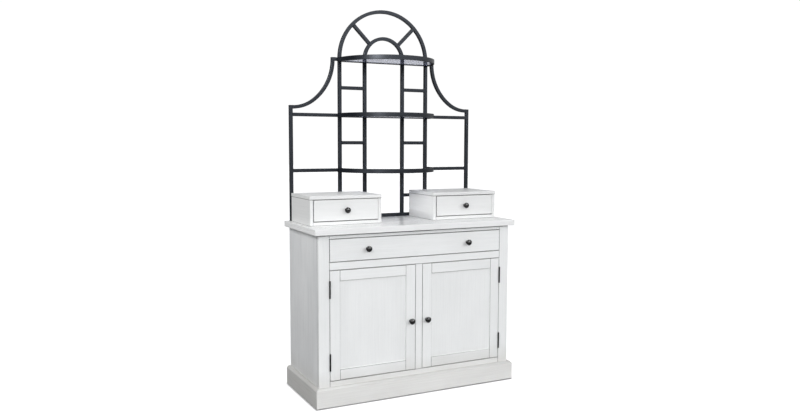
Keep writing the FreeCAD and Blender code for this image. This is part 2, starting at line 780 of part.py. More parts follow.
def make_rack_frame():
    main_hoop = hollow_hoop(main_post_x, arch_z)
    for x in (-main_post_x, main_post_x):
        for z in shelf_bolt_heights():
            main_hoop = main_hoop.cut(shelf_bolt_hole(x, rack_front, z, tube_wall))
    save("rack_main_hoop", main_hoop)
    save("rack_inner_hoop", hollow_hoop(inner_post_x, inner_arch_z))
    post_top = wing_start_z + half_tube
    post = straight_tube(outer_post_x - half_tube, outer_post_x + half_tube,
                         counter_height, post_top, capped_top=True)
    save("rack_outer_posts", *both(post))
    bar_end = outer_post_x - half_tube
    bottom_bar = straight_tube(-bar_end, bar_end, counter_height, bottom_bar_top)
    save("rack_bottom_bar", bottom_bar.cut(counter_bolt_holes(counter_height, tube_wall)))

    arm_top = wing_end_z + half_tube
    arm = ease_tube(wing_band(half_tube, arm_top, rack_front, rack_back))
    bore = wing_band(half_tube - tube_wall, arm_top - tube_wall,
                     rack_front + tube_wall, rack_back - tube_wall)
    save("rack_wing_arms", *both(arm.cut(bore)))

    bars = []
    for z in bar_heights:
        bars += both(straight_tube(main_post_x + half_tube, bar_end, z - half_tube, z + half_tube))
    bars += both(straight_tube(main_post_x + half_tube, wing_end_x - half_tube,
                               wing_end_z - half_tube, wing_end_z + half_tube))
    save("rack_wing_bars", *bars)
    rungs = []
    for z in rung_heights:
        rungs += both(straight_tube(inner_post_x + half_tube, main_post_x - half_tube,
                                    z - half_tube, z + half_tube))
    save("rack_rungs", *rungs)


def make_spokes():
    """Two short tubes on the arch's radii, cut round to meet both arches."""
    near = inner_post_x + half_tube + weld_gap
    far = main_post_x - half_tube - weld_gap
    spoke = straight_tube(near - tube, far + tube, arch_z - half_tube, arch_z + half_tube)
    spoke.rotate(Vector(0, 0, arch_z), Vector(0, -1, 0), spoke_angle)
    ring = rod(far, (0, rack_front, arch_z), (0, 1, 0), tube)
    ring = ring.cut(rod(near, (0, rack_front, inner_arch_z), (0, 1, 0), tube))
    save("rack_spokes", *both(spoke.common(ring)))


# ---- Rack shelves ----
def shelf_bolt_heights():
    return [z - rim_height / 2 + shelf_bolt_rise for z in shelf_heights]


def shelf_bolt_hole(x, y, z, depth):
    """The hole for one shelf bolt, from a face that looks along -Y."""
    return rod(bolt_radius + bolt_fit / 2, (x, y, z), (0, 1, 0), depth)


def half_disc(radius, back, z0, z1):
    """A half-round plate in front of the rack, centred on the front of the posts."""
    disc = rod(radius, (0, rack_front, z0), (0, 0, 1), z1 - z0)
    return disc.common(block(-radius, radius, rack_front - radius, back, z0, z1))


def make_rack_shelf(name, centre_z):
    z0 = centre_z - rim_height / 2
    z1 = z0 + rim_height
    ledge_top = z0 + ledge_thickness
    band_inner = rim_radius - rim_thickness
    ledge_inner = band_inner - ledge_width
    ear_front = rack_front - rim_thickness
    band = half_disc(rim_radius, rack_front, z0, z1).cut(half_disc(band_inner, rack_front, z0, z1))
    ledge = half_disc(rim_radius, rack_front, z0, ledge_top)
    ledge = ledge.cut(half_disc(ledge_inner, rack_front - back_ledge_width, z0, ledge_top))
    frame = band.fuse(ledge)
    for ear in both(block(rim_ear_end, band_inner, ear_front, rack_front, z0, z1)):
        frame = frame.fuse(ear)
    frame = frame.removeSplitter()
    corners = [edge for edge in frame.Edges
               if edge.BoundBox.ZLength > rim_height - 1e-3
               and abs(abs(edge.CenterOfMass.x) - rim_radius) < 1e-3]
    frame = frame.makeFillet(rim_corner, corners)
    hole_z = z0 + shelf_bolt_rise
    for x in (-main_post_x, main_post_x):
        frame = frame.cut(shelf_bolt_hole(x, ear_front, hole_z, rim_thickness))
    save("shelf_rim_" + name, frame)
    glass = half_disc(band_inner - glass_clearance, ear_front - glass_clearance,
                      ledge_top, ledge_top + glass_thickness)
    save("shelf_glass_" + name, glass)


def make_shelf_bolts():
    ear_front = rack_front - rim_thickness
    rise = shelf_bolt_head_height
    dome_radius = (shelf_bolt_head_radius ** 2 + rise ** 2) / (2 * rise)
    bolts = []
    for z in shelf_bolt_heights():
        for x in (-main_post_x, main_post_x):
            dome = Part.makeSphere(dome_radius, Vector(x, ear_front - rise + dome_radius, z))
            head = dome.common(rod(shelf_bolt_head_radius, (x, ear_front, z), (0, -1, 0), rise))
            bolts.append(head.fuse(rod(bolt_radius, (x, ear_front, z), (0, 1, 0), shelf_bolt_length)))
    save("shelf_bolts", *bolts)


make_counter()
make_counter_bolts()
make_carcass()
make_inner_shelves()
make_face_frame()
make_plinth()
make_glides()
make_doors()
make_hinges()
make_wide_drawer()
make_slides()
make_small_boxes()
make_rack_frame()
make_spokes()
for shelf_name, shelf_z in zip(("low", "middle", "top"), shelf_heights):
    make_rack_shelf(shelf_name, shelf_z)
make_shelf_bolts()
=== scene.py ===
"""Looks of the bakers rack: painted wood, satin steel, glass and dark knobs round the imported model.

Metres, in the model's own frame: +X right, +Y back, +Z up, the floor at zero.
"""

import math

import bmesh
import bpy
from mathutils import Matrix, Vector


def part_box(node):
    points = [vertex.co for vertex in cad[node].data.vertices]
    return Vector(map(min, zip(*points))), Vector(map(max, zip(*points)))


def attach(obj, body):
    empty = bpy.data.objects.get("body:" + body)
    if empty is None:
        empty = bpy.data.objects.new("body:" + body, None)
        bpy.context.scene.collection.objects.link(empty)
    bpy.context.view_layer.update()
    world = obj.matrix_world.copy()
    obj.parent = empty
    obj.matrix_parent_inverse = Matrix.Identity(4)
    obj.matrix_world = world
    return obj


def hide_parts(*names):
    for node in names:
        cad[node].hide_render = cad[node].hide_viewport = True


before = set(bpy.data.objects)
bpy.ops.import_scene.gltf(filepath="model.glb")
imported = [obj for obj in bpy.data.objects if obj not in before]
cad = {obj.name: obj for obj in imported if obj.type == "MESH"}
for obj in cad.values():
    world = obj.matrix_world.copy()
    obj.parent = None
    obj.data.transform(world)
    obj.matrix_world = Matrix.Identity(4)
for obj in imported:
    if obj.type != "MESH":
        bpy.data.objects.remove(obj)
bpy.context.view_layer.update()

# ---- Sizes the looks share with the model ----
# Rack.
TUBE = 0.01905
HALF = TUBE / 2
TUBE_CORNER = 0.002
OUTER_X = 0.5557
MAIN_X = 0.2709
INNER_X = 0.1186
WING_END_X = 0.3115
WING_ANGLE = math.radians(35)
COUNTER = 0.9144
FIRST_RUNG = 0.1218
PITCH = 0.1524
RUNGS = [COUNTER + FIRST_RUNG + PITCH * n for n in (0, 2, 4)]
SHELVES = [COUNTER + FIRST_RUNG + PITCH * n for n in (1, 3, 5)]
ARCH_Z = SHELVES[2] + 0.0098
INNER_ARCH_Z = ARCH_Z + 0.003
WING_START_Z = SHELVES[1] + 0.0406
WING_END_Z = SHELVES[2] + 0.0038
RIM_RADIUS = 0.285
RIM_THICKNESS = 0.004
RIM_HEIGHT = 0.024
RIM_EAR_X = 0.2615
RIM_CORNER = 0.005
LEDGE_WIDTH = 0.012
LEDGE_THICKNESS = 0.003
BACK_LEDGE = 0.020
# Cabinet.
BODY_X = 0.5665
PLINTH_CHAMFER = 0.010
BOTTOM_RAIL = (0.080, 0.132)
MIDDLE_RAIL = (0.702, 0.742)
TOP_RAIL_LOW = 0.861
SHELF_INNER_X = 0.009
DOOR_STILE = 0.055
DOOR_TOP_RAIL = 0.055
DOOR_BOTTOM_RAIL = 0.053
DOOR_THICKNESS = 0.020
DOOR_GAP = 0.002
CATCH_X = 0.060
# Drawers, and the boxes on the counter.
WIDE_WALL = 0.012
WIDE_BACK_RISE = 0.015
WIDE_KNOB_X = 0.298
BOX_WALL = 0.01775
BOX_FLOOR = 0.0198
BOX_BACK = 0.010
SMALL_WALL = 0.010
SMALL_FLOOR = (0.007, 0.012)

main_lo, main_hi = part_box("rack_main_hoop")
RACK_Y = (main_lo.y + main_hi.y) / 2
RACK_FRONT = main_lo.y
face_lo, face_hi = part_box("face_rails")
FACE_Y = face_lo.y
BAR_TOP = COUNTER + TUBE

# How far the edges of most boards, of the face frame's stiles and of hinge parts are eased, and the
# larger chamfer of a groove.
EASE = 0.0012
STILE_EASE = 0.0009
HINGE_EASE = 0.0002
GROOVE = 0.005
SIDES = (("left", -1), ("right", 1))
ALL_ROUND = "+x-x+y-y+z-z"


# ---- Mesh building ----
class Shape:
    """Gathers boards, swept bars and turned parts into one mesh.

    boards counts the boards so far. Each number has a grain of its own, so shapes start apart.
    """

    def __init__(self, boards=0):
        self.verts = []
        self.faces = []
        self.uvs = []
        self.glaze_and_shade = []
        self.boards = boards

    def add(self, verts, faces, uvs=None, glaze_and_shade=None):
        start = len(self.verts)
        self.verts += [tuple(v) for v in verts]
        self.faces += [[start + i for i in face] for face in faces]
        self.glaze_and_shade += glaze_and_shade or [0.0] * len(faces)
        if uvs is None:
            uvs = [[(verts[i][0] + verts[i][1], verts[i][2]) for i in face] for face in faces]
        self.uvs += uvs

    def take(self, bm, grain, ease=0.0, glaze_and_shade_sides=""):
        """Takes a bmesh whose wood grain runs along an axis (0, 1 or 2).

        Its eased edges that face one of the listed sides, such as "+x-z", carry the dark edge colour:
        partly glaze in the joints and partly painted shade in the gaps.
        """
        sides = [(1 if glaze_and_shade_sides[i] == "+" else -1, "xyz".index(glaze_and_shade_sides[i + 1]))
                 for i in range(0, len(glaze_and_shade_sides), 2)]
        self.boards += 1
        du, dv = 0.73 * self.boards, 0.37 * self.boards
        a, b = [i for i in range(3) if i != grain]
        bm.verts.ensure_lookup_table()
        bm.normal_update()
        verts = [tuple(v.co) for v in bm.verts]
        faces, uvs, glaze_and_shade = [], [], []
        for f in bm.faces:
            end = abs(f.normal[grain]) > 0.75
            narrow = f.calc_area() < 1.5 * ease * f.calc_perimeter() / 2
            glaze_and_shade.append(float(narrow and any(f.normal[axis] * sign > 0.2 for sign, axis in sides)))
            faces.append([v.index for v in f.verts])
            if end:
                uvs.append([(v.co[a] * 0.35 + du, v.co[b] + dv) for v in f.verts])
            else:
                uvs.append([(v.co[grain] + du, v.co[a] + v.co[b] + dv) for v in f.verts])
        self.add(verts, faces, uvs, glaze_and_shade)
        bm.free()


def bevel_edges(bm, edges, offset, segments=2):
    bmesh.ops.bevel(bm, geom=edges, offset=offset, segments=segments, profile=0.5, affect="EDGES")


def board(shape, lo, hi, grain, bevel=EASE, glaze_and_shade_sides="", grooved=""):
    """A board with eased edges. Its top edges on the grooved sides have a larger chamfer, so that
    they form a groove with what lies on the board. Where that chamfer faces a listed side it gets the
    dark edge colour, partly glaze and partly painted shade."""
    bm = bmesh.new()
    bmesh.ops.create_cube(bm, size=1.0)
    for v in bm.verts:
        v.co = Vector([lo[i] + (v.co[i] + 0.5) * (hi[i] - lo[i]) for i in range(3)])
    ease = bevel
    if grooved:
        ease = GROOVE
        top_edges = []
        for edge in bm.edges:
            middle = (edge.verts[0].co + edge.verts[1].co) / 2
            for i in range(0, len(grooved), 2):
                axis = "xyz".index(grooved[i + 1])
                side = hi[axis] if grooved[i] == "+" else lo[axis]
                if abs(middle.z - hi[2]) < 1e-6 and abs(middle[axis] - side) < 1e-6:
                    top_edges.append(edge)
        bevel_edges(bm, top_edges, GROOVE, 1)
    bevel_edges(bm, bm.edges[:], bevel)
    shape.take(bm, grain, ease, glaze_and_shade_sides)


def prism(shape, start_ring, end_ring, grain, bevel, wear_and_shade=0.0):
    """A board between two matching polygons, with eased edges. Its upward slopes get the dark edge
    colour in the given share, a painted shade, and its lower edges get it in full, a painted shadow."""
    bm = bmesh.new()
    first = [bm.verts.new(p) for p in start_ring]
    last = [bm.verts.new(p) for p in end_ring]
    n = len(first)
    for i in range(n):
        bm.faces.new((first[i], first[(i + 1) % n], last[(i + 1) % n], last[i]))
    bm.faces.new(first[::-1])
    bm.faces.new(last)
    bmesh.ops.recalc_face_normals(bm, faces=bm.faces[:])
    bevel_edges(bm, bm.edges[:], bevel)
    slopes = [f.normal.z for f in bm.faces]
    first_face = len(shape.glaze_and_shade)
    shape.take(bm, grain, bevel)
    # Painted shade on upward slopes, painted shadow along the lower edges.
    for i, slope in enumerate(slopes):
        if slope > 0.2:
            shape.glaze_and_shade[first_face + i] = wear_and_shade
        elif slope < -0.2:
            shape.glaze_and_shade[first_face + i] = 1.0


def round_square(half_a, half_b, corner, steps=4):
    """Outline of a square bar with round corners, anticlockwise."""
    points = []
    for cx, cy, turn in ((1, 1, 0), (-1, 1, 1), (-1, -1, 2), (1, -1, 3)):
        for k in range(steps + 1):
            angle = (turn + k / steps) * math.pi / 2
            points.append((cx * (half_a - corner) + corner * math.cos(angle),
                           cy * (half_b - corner) + corner * math.sin(angle)))
    return points


def circle(radius, steps):
    return [(radius * math.cos(2 * math.pi * k / steps), radius * math.sin(2 * math.pi * k / steps))
            for k in range(steps)]


def sweep(shape, path, profile, side, end_round=0.0):
    """Carries an outline along a path. side is the direction of the outline's second axis, and
    end_round eases the edges of the path's last end by that much."""
    path = [Vector(p) for p in path]
    side = Vector(side).normalized()
    rings = []
    for i, point in enumerate(path):
        along = (path[min(i + 1, len(path) - 1)] - path[max(i - 1, 0)]).normalized()
        rings.append((point, side.cross(along).normalized(), 1.0))
    if end_round:
        end_along = (path[-1] - path[-2]).normalized()
        rings[-1] = (path[-1] - end_along * end_round, rings[-1][1], 1.0)
        rings.append((path[-1], rings[-1][1], 1 - end_round / HALF))
    n = len(profile)
    verts = []
    lengths = [0.0]
    for i, (point, across, scale) in enumerate(rings):
        verts += [point + across * a * scale + side * b * scale for a, b in profile]
        if i:
            lengths.append(lengths[-1] + (point - rings[i - 1][0]).length)
    round_at = [0.0]
    for j in range(n):
        a, b = profile[j], profile[(j + 1) % n]
        round_at.append(round_at[-1] + math.hypot(a[0] - b[0], a[1] - b[1]))
    faces, uvs = [], []
    last = len(rings) - 1
    for i in range(last):
        k = i + 1
        for j in range(n):
            m = (j + 1) % n
            faces.append([i * n + j, i * n + m, k * n + m, k * n + j])
            u0, u1 = lengths[i], lengths[k]
            v0, v1 = round_at[j], round_at[j + 1]
            uvs.append([(u0, v0), (u0, v1), (u1, v1), (u1, v0)])
    faces.append([j for j in range(n)][::-1])
    uvs.append(profile[::-1])
    faces.append([last * n + j for j in range(n)])
    uvs.append(profile[:])
    shape.add(verts, faces, uvs)


def frame_round(axis):
    """A unit axis with two directions square to it."""
    axis = Vector(axis).normalized()
    right = axis.orthogonal().normalized()
    return axis, right, axis.cross(right)


def turned(shape, base, axis, outline, steps):
    """A turned shape: outline is (radius, height) pairs along an axis from its base."""
    axis, right, up = frame_round(axis)
    base = Vector(base)
    verts, rows = [], []
    for radius, height in outline:
        if radius < 1e-7:
            rows.append([len(verts)])
            verts.append(base + axis * height)
            continue
        rows.append(list(range(len(verts), len(verts) + steps)))
        for k in range(steps):
            angle = 2 * math.pi * k / steps
            out = right * math.cos(angle) + up * math.sin(angle)
            verts.append(base + axis * height + out * radius)
    faces = []
    for low, high in zip(rows, rows[1:]):
        for k in range(steps):
            m = (k + 1) % steps
            if len(low) == 1 and len(high) > 1:
                faces.append([low[0], high[m], high[k]])
            elif len(high) == 1 and len(low) > 1:
                faces.append([low[k], low[m], high[0]])
            elif len(low) > 1:
                faces.append([low[k], low[m], high[m], high[k]])
    if len(rows[0]) > 1:
        faces.append(rows[0][::-1])
    if len(rows[-1]) > 1:
        faces.append(rows[-1])
    shape.add(verts, faces)


def arc(cx, cz, radius, start, end, steps):
    """Points on an arc in the rack's plane, angles from +X towards +Z."""
    return [(cx + radius * math.cos(start + (end - start) * k / steps), RACK_Y,
             cz + radius * math.sin(start + (end - start) * k / steps)) for k in range(steps + 1)]


def piece(name, shape, material, slot, body, *nodes, sharp=50, flat_faces=True):
    """Makes the object, lets it ride on its body and stand for its nodes."""
    mesh = bpy.data.meshes.new(name)
    mesh.from_pydata(shape.verts, [], shape.faces)
    layer = mesh.uv_layers.new(name="grain")
    flat = [c for face in shape.uvs for uv in face for c in uv]
    layer.data.foreach_set("uv", flat)
    if any(shape.glaze_and_shade):
        mesh.attributes.new("glaze_and_shade", "FLOAT", "FACE").data.foreach_set("value", shape.glaze_and_shade)
    mesh.validate()
    bm = bmesh.new()
    bm.from_mesh(mesh)
    bmesh.ops.recalc_face_normals(bm, faces=bm.faces[:])
    bm.to_mesh(mesh)
    bm.free()
    mesh.materials.append(material)
    mesh.shade_smooth()
    mesh.set_sharp_from_angle(angle=math.radians(sharp))
    obj = bpy.data.objects.new(name, mesh)
    bpy.context.scene.collection.objects.link(obj)
    if flat_faces:
        weighted = obj.modifiers.new("flat faces", "WEIGHTED_NORMAL")
        weighted.keep_sharp = True
    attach(obj, body)
    if nodes:
        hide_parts(*nodes)
    return obj


# ---- Materials ----
class Tree:
    """The node tree of a material or of the world. Values are plain numbers or sockets."""

    def __init__(self, owner):
        owner.use_nodes = True
        self.nodes = owner.node_tree.nodes
        self.links = owner.node_tree.links
        self.shader = self.nodes.get("Principled BSDF")

    def link(self, source, name):
        self.links.new(source, self.shader.inputs[name])

    def coordinates(self, kind):
        return self.nodes.new("ShaderNodeTexCoord").outputs[kind]

    def split(self, vector):
        node = self.nodes.new("ShaderNodeSeparateXYZ")
        self.links.new(vector, node.inputs["Vector"])
        return node.outputs

    def math(self, operation, *values):
        node = self.nodes.new("ShaderNodeMath")
        node.operation = operation
        for socket, value in zip(node.inputs, values):
            if isinstance(value, float):
                socket.default_value = value
            else:
                self.links.new(value, socket)
        return node.outputs["Value"]

    def sums(self, *terms):
        """Weighted sum of (socket, weight) pairs."""
        total = 0.0
        for value, weight in terms:
            total = self.math("MULTIPLY_ADD", value, weight, total)
        return total

    def noise(self, vector, scale, detail=3.0, rough=0.55):
        node = self.nodes.new("ShaderNodeTexNoise")
        node.inputs["Scale"].default_value = scale
        node.inputs["Detail"].default_value = detail
        node.inputs["Roughness"].default_value = rough
        self.links.new(vector, node.inputs["Vector"])
        return node.outputs["Fac"]

    def stretched(self, source, along, across, offset=0.0):
        node = self.nodes.new("ShaderNodeMapping")
        node.inputs["Scale"].default_value = (along, across, 1.0)
        node.inputs["Location"].default_value = (offset, offset * 0.7, offset * 1.3)
        self.links.new(source, node.inputs["Vector"])
        return node.outputs["Vector"]

    def ramp(self, value, low, high, out_low=0.0, out_high=1.0):
        node = self.nodes.new("ShaderNodeMapRange")
        node.inputs["From Min"].default_value = low
        node.inputs["From Max"].default_value = high
        node.inputs["To Min"].default_value = out_low
        node.inputs["To Max"].default_value = out_high
        self.links.new(value, node.inputs["Value"])
        return node.outputs["Result"]

    def blend(self, factor, first, second):
        """Mixes two colours, each a tuple or a socket."""
        node = self.nodes.new("ShaderNodeMix")
        node.data_type = "RGBA"
        sockets = [s for s in node.inputs if s.type == "RGBA"]
        self.links.new(factor, node.inputs["Factor"])
        for socket, colour in zip(sockets, (first, second)):
            if isinstance(colour, tuple):
                socket.default_value = (*colour, 1.0)
            else:
                self.links.new(colour, socket)
        return [s for s in node.outputs if s.type == "RGBA"][0]

    def bump(self, height, strength, distance):
        node = self.nodes.new("ShaderNodeBump")
        node.inputs["Strength"].default_value = strength
        node.inputs["Distance"].default_value = distance
        self.links.new(height, node.inputs["Height"])
        self.link(node.outputs["Normal"], "Normal")


# Dark colour of marked edges: partly glaze in the joints, partly painted shade.
GLAZE_AND_SHADE_COLOUR = (0.045, 0.044, 0.042)
# Warm dark tint that the paint takes towards the bottom.
LOW_TINT_COLOUR = (0.50, 0.48, 0.44)


def painted_wood(name, light, dark, roughness, coat, brushing=1.0, darker_low=0.0):
    """White paint brushed along the grain: fine streaks, slow tone changes, open pores and a dark
    colour on marked edges, partly glaze in the joints and partly painted shade. It can also be made
    warmer and darker towards the bottom."""
    material = bpy.data.materials.new(name)
    look = Tree(material)
    uv = look.nodes.new("ShaderNodeUVMap")
    uv.uv_map = "grain"
    drift = look.nodes.new("ShaderNodeTexNoise")
    drift.inputs["Scale"].default_value = 1.0
    look.links.new(look.stretched(uv.outputs["UV"], 3.0, 9.0, 1.7), drift.inputs["Vector"])
    wave = look.nodes.new("ShaderNodeVectorMath")
    wave.operation = "MULTIPLY_ADD"
    wave.inputs[1].default_value = (0.0, 0.022, 0.0)
    look.links.new(drift.outputs["Color"], wave.inputs[0])
    look.links.new(uv.outputs["UV"], wave.inputs[2])
    source = wave.outputs["Vector"]
    streaks = look.noise(look.stretched(source, 2.6, 170.0), 1.0, 4.0, 0.62)
    bands = look.noise(look.stretched(source, 1.3, 48.0, 3.1), 1.0, 4.0, 0.6)
    pores = look.noise(look.stretched(source, 24.0, 950.0, 7.7), 1.0, 2.0, 0.5)
    cloud = look.noise(look.stretched(source, 2.2, 5.0, 5.2), 1.0, 3.0)
    total = 0.96 + 0.04 * brushing
    mixed = look.sums((streaks, 0.42 / total), (bands, 0.04 * brushing / total),
                      (cloud, 0.54 / total))
    colour = look.blend(look.ramp(mixed, 0.36, 0.64), light, dark)
    pore_mask = look.ramp(pores, 0.64, 0.76, 0.0, 0.45)
    colour = look.blend(pore_mask, colour, tuple(c * 0.72 for c in dark))
    # Warmer and darker towards the bottom, unevenly.
    if darker_low:
        height = look.split(look.coordinates("Object"))["Z"]
        low_down = look.sums((height, 1.0), (cloud, -0.10))
        low_down = look.ramp(low_down, 0.16, 0.045, 0.0, darker_low)
        colour = look.blend(low_down, colour, LOW_TINT_COLOUR)
    # Marked edges get the dark colour in patches: partly glaze, partly painted shade.
    edge = look.nodes.new("ShaderNodeAttribute")
    edge.attribute_name = "glaze_and_shade"
    patchy_glaze_and_shade = look.math("MULTIPLY", edge.outputs["Fac"], look.ramp(bands, 0.30, 0.55, 0.45, 1.0))
    colour = look.blend(patchy_glaze_and_shade, colour, GLAZE_AND_SHADE_COLOUR)
    look.link(colour, "Base Color")
    look.link(look.ramp(streaks, 0.3, 0.7, roughness - 0.05, roughness + 0.08), "Roughness")
    look.shader.inputs["Specular IOR Level"].default_value = 0.5
    look.shader.inputs["Coat Weight"].default_value = coat
    look.shader.inputs["Coat Roughness"].default_value = 0.22
    look.bump(look.sums((streaks, 0.6), (pores, -0.5)), 0.25, 0.0004)
    return material


def metal(name, colour, wear_and_shade, roughness, metallic=0.0, grain=700.0, depth=0.00003, shine=0.5,
          tint=(1.0, 1.0, 1.0)):
    """Painted or plated metal, or plastic, with a fine surface and slow changes of gloss."""
    material = bpy.data.materials.new(name)
    look = Tree(material)
    coords = look.coordinates("Object")
    slow = look.noise(coords, 9.0, 3.0)
    fine = look.noise(coords, grain, 2.0, 0.5)
    look.link(look.blend(look.ramp(slow, 0.35, 0.7), colour, wear_and_shade), "Base Color")
    look.link(look.ramp(slow, 0.3, 0.7, roughness - 0.04, roughness + 0.06), "Roughness")
    look.shader.inputs["Metallic"].default_value = metallic
    look.shader.inputs["Specular IOR Level"].default_value = shine
    look.shader.inputs["Specular Tint"].default_value = (*tint, 1.0)
    look.bump(fine, 0.2, depth)
    return material


def glass_material():
    """Shelf glass with a faint tint and haze."""
    material = bpy.data.materials.new("shelf_glass_look")
    look = Tree(material)
    waves = look.noise(look.coordinates("Object"), 3.0, 1.0)
    look.link(look.blend(waves, (0.70, 0.725, 0.85), (0.72, 0.745, 0.87)), "Base Color")
    look.shader.inputs["Roughness"].default_value = 0.02
    look.shader.inputs["IOR"].default_value = 1.45
    look.shader.inputs["Transmission Weight"].default_value = 0.8
    look.bump(waves, 0.05, 0.0005)
    return material


PAINT = painted_wood("white_paint", (0.815, 0.825, 0.82), (0.74, 0.75, 0.745), 0.42, 0.12,
                     darker_low=0.45)
# The side panels' copy of the white paint has a much darker second tone: stronger streaks, and darker
# overall as painted shade.
SIDE_SHADED_PAINT = painted_wood("side_paint_shaded", (0.81, 0.82, 0.82), (0.64, 0.65, 0.655), 0.45, 0.08,
                          brushing=4.0, darker_low=0.3)
# The boxes' copy of the white paint is darker than the cabinet's: painted shade.
BOX_SHADED_PAINT = painted_wood("box_paint_shaded", (0.715, 0.72, 0.715), (0.655, 0.66, 0.655), 0.42, 0.12)
TOP_PAINT = painted_wood("counter_paint", (0.85, 0.855, 0.85), (0.775, 0.78, 0.775), 0.28, 0.4)
PLINTH_PAINT = painted_wood("plinth_paint", (0.755, 0.755, 0.735), (0.655, 0.65, 0.63), 0.42, 0.10)
# The plinth's sides have a darker copy of the plinth paint: painted shade.
PLINTH_SIDE_SHADED_PAINT = painted_wood("plinth_side_paint_shaded", (0.64, 0.635, 0.615), (0.50, 0.495, 0.475),
                                 0.42, 0.10)
INNER = painted_wood("inner_paint", (0.74, 0.73, 0.70), (0.64, 0.63, 0.60), 0.55, 0.0)
STEEL = metal("rack_paint", (0.005, 0.0065, 0.009), (0.008, 0.0095, 0.013), 0.31,
              depth=0.000001, shine=0.42, tint=(0.84, 0.90, 1.0))
KNOB = metal("knob_metal_look", (0.003, 0.003, 0.003), (0.006, 0.0058, 0.0056), 0.12,
             grain=900.0, depth=0.000001, shine=0.4)
HINGE = metal("hinge_metal_look", (0.004, 0.004, 0.004), (0.008, 0.008, 0.008), 0.4, shine=0.12)
ZINC = metal("zinc_plate", (0.50, 0.51, 0.53), (0.42, 0.43, 0.46), 0.34, metallic=1.0)
PLASTIC = metal("catch_plastic_look", (0.70, 0.70, 0.68), (0.64, 0.64, 0.62), 0.5)
DARK_PLASTIC = metal("glide_plastic_look", (0.05, 0.05, 0.05), (0.07, 0.07, 0.07), 0.55)
GLASS = glass_material()


# ---- Wood ----
def node_board(name, grain, material, slot, body, bevel=EASE, glaze_and_shade_sides="", grooved=""):
    """One board in place of one node that is a plain board."""
    shape = Shape(len(name))
    board(shape, *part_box(name), grain, bevel, glaze_and_shade_sides, grooved)
    piece(name + "_board", shape, material, slot, body, name)


def mirrored_boards(lo, hi):
    """A board's corners on the right, then on the left."""
    return (lo, hi), ((-hi[0], lo[1], lo[2]), (-lo[0], hi[1], hi[2]))


node_board("counter_top", 0, TOP_PAINT, "cabinet_paint", "cabinet", 0.0022)
for side, outer, inner in (("left", "-x", "+x"), ("right", "+x", "-x")):
    node_board("side_panel_" + side, 2, SIDE_SHADED_PAINT, "cabinet_paint", "cabinet", EASE, "-y+z", outer)
    node_board("face_stile_" + side, 2, PAINT, "cabinet_paint", "cabinet", STILE_EASE,
               inner + "+z", "-y" + outer)
node_board("face_centre_stile", 2, PAINT, "cabinet_paint", "cabinet", STILE_EASE, ALL_ROUND)
node_board("back_panel", 2, INNER, "inner_wood", "cabinet", 0.0005)
node_board("bottom_panel", 0, INNER, "inner_wood", "cabinet")
node_board("drawer_shelf", 0, INNER, "inner_wood", "cabinet")
node_board("centre_partition", 2, INNER, "inner_wood", "cabinet")

# Rails between the stiles. Only the top one is grooved, under the counter.
opening_x = face_hi.x
rails = Shape(3)
for (z0, z1), grooved in ((BOTTOM_RAIL, ""), (MIDDLE_RAIL, ""), ((TOP_RAIL_LOW, face_hi.z), "-y")):
    board(rails, (-opening_x, FACE_Y, z0), (opening_x, face_hi.y, z1), 0, 0.0014, ALL_ROUND,
          grooved)
piece("face_rail_boards", rails, PAINT, "cabinet_paint", "cabinet", "face_rails")

# Plinth, mitred at the front corners, with a chamfer along its top.
plinth_lo, plinth_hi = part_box("plinth_front")
plinth_out = plinth_hi.x - BODY_X
plinth_profile = [(0.0, plinth_lo.z), (plinth_out, plinth_lo.z),
                  (plinth_out, plinth_hi.z - PLINTH_CHAMFER),
                  (plinth_out - PLINTH_CHAMFER, plinth_hi.z), (0.0, plinth_hi.z)]
front_board = Shape(5)
# Its top chamfer gets a little painted shade and its bottom edge a painted shadow.
prism(front_board, [(-BODY_X - d, FACE_Y - d, z) for d, z in plinth_profile],
      [(BODY_X + d, FACE_Y - d, z) for d, z in plinth_profile], 0, 0.0020, wear_and_shade=0.24)
piece("plinth_front_board", front_board, PLINTH_PAINT, "cabinet_paint", "cabinet", "plinth_front")
side_boards = Shape(8)
back_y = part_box("plinth_sides")[1].y
for sign in (-1, 1):
    prism(side_boards, [(sign * (BODY_X + d), FACE_Y - d, z) for d, z in plinth_profile],
          [(sign * (BODY_X + d), back_y, z) for d, z in plinth_profile], 1, 0.0010)
piece("plinth_side_boards", side_boards, PLINTH_SIDE_SHADED_PAINT, "cabinet_paint", "cabinet",
      "plinth_sides")

# Inner shelves and the rails that carry the drawer slides.
for name, grain, near in (("inner_shelves", 0, SHELF_INNER_X),
                          ("slide_packing_rails", 1, opening_x)):
    lo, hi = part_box(name)
    shape = Shape(len(name))
    for corners in mirrored_boards((near, lo.y, lo.z), (hi.x, hi.y, hi.z)):
        board(shape, *corners, grain)
    piece(name + "_boards", shape, INNER, "inner_wood", "cabinet", name)

# Doors: two stiles, two rails and a flat panel each.
for side, sign in SIDES:
    node = "door_" + side + "_frame"
    lo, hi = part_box(node)
    x0, x1 = lo.x + DOOR_STILE, hi.x - DOOR_STILE
    z0, z1 = lo.z + DOOR_BOTTOM_RAIL, hi.z - DOOR_TOP_RAIL
    shape = Shape(11 + 6 * sign)
    board(shape, lo, (x0, hi.y, hi.z), 2, 0.0008, ALL_ROUND)
    board(shape, (x1, lo.y, lo.z), hi, 2, 0.0008, ALL_ROUND)
    board(shape, (x0, lo.y, lo.z), (x1, hi.y, z0), 0, 0.0015, ALL_ROUND)
    board(shape, (x0, lo.y, z1), (x1, hi.y, hi.z), 0, 0.0015, ALL_ROUND)
    piece(node + "_boards", shape, PAINT, "cabinet_paint", "door_" + side, node)
    node_board("door_" + side + "_panel", 2, PAINT, "cabinet_paint", "door_" + side, 0.0006)

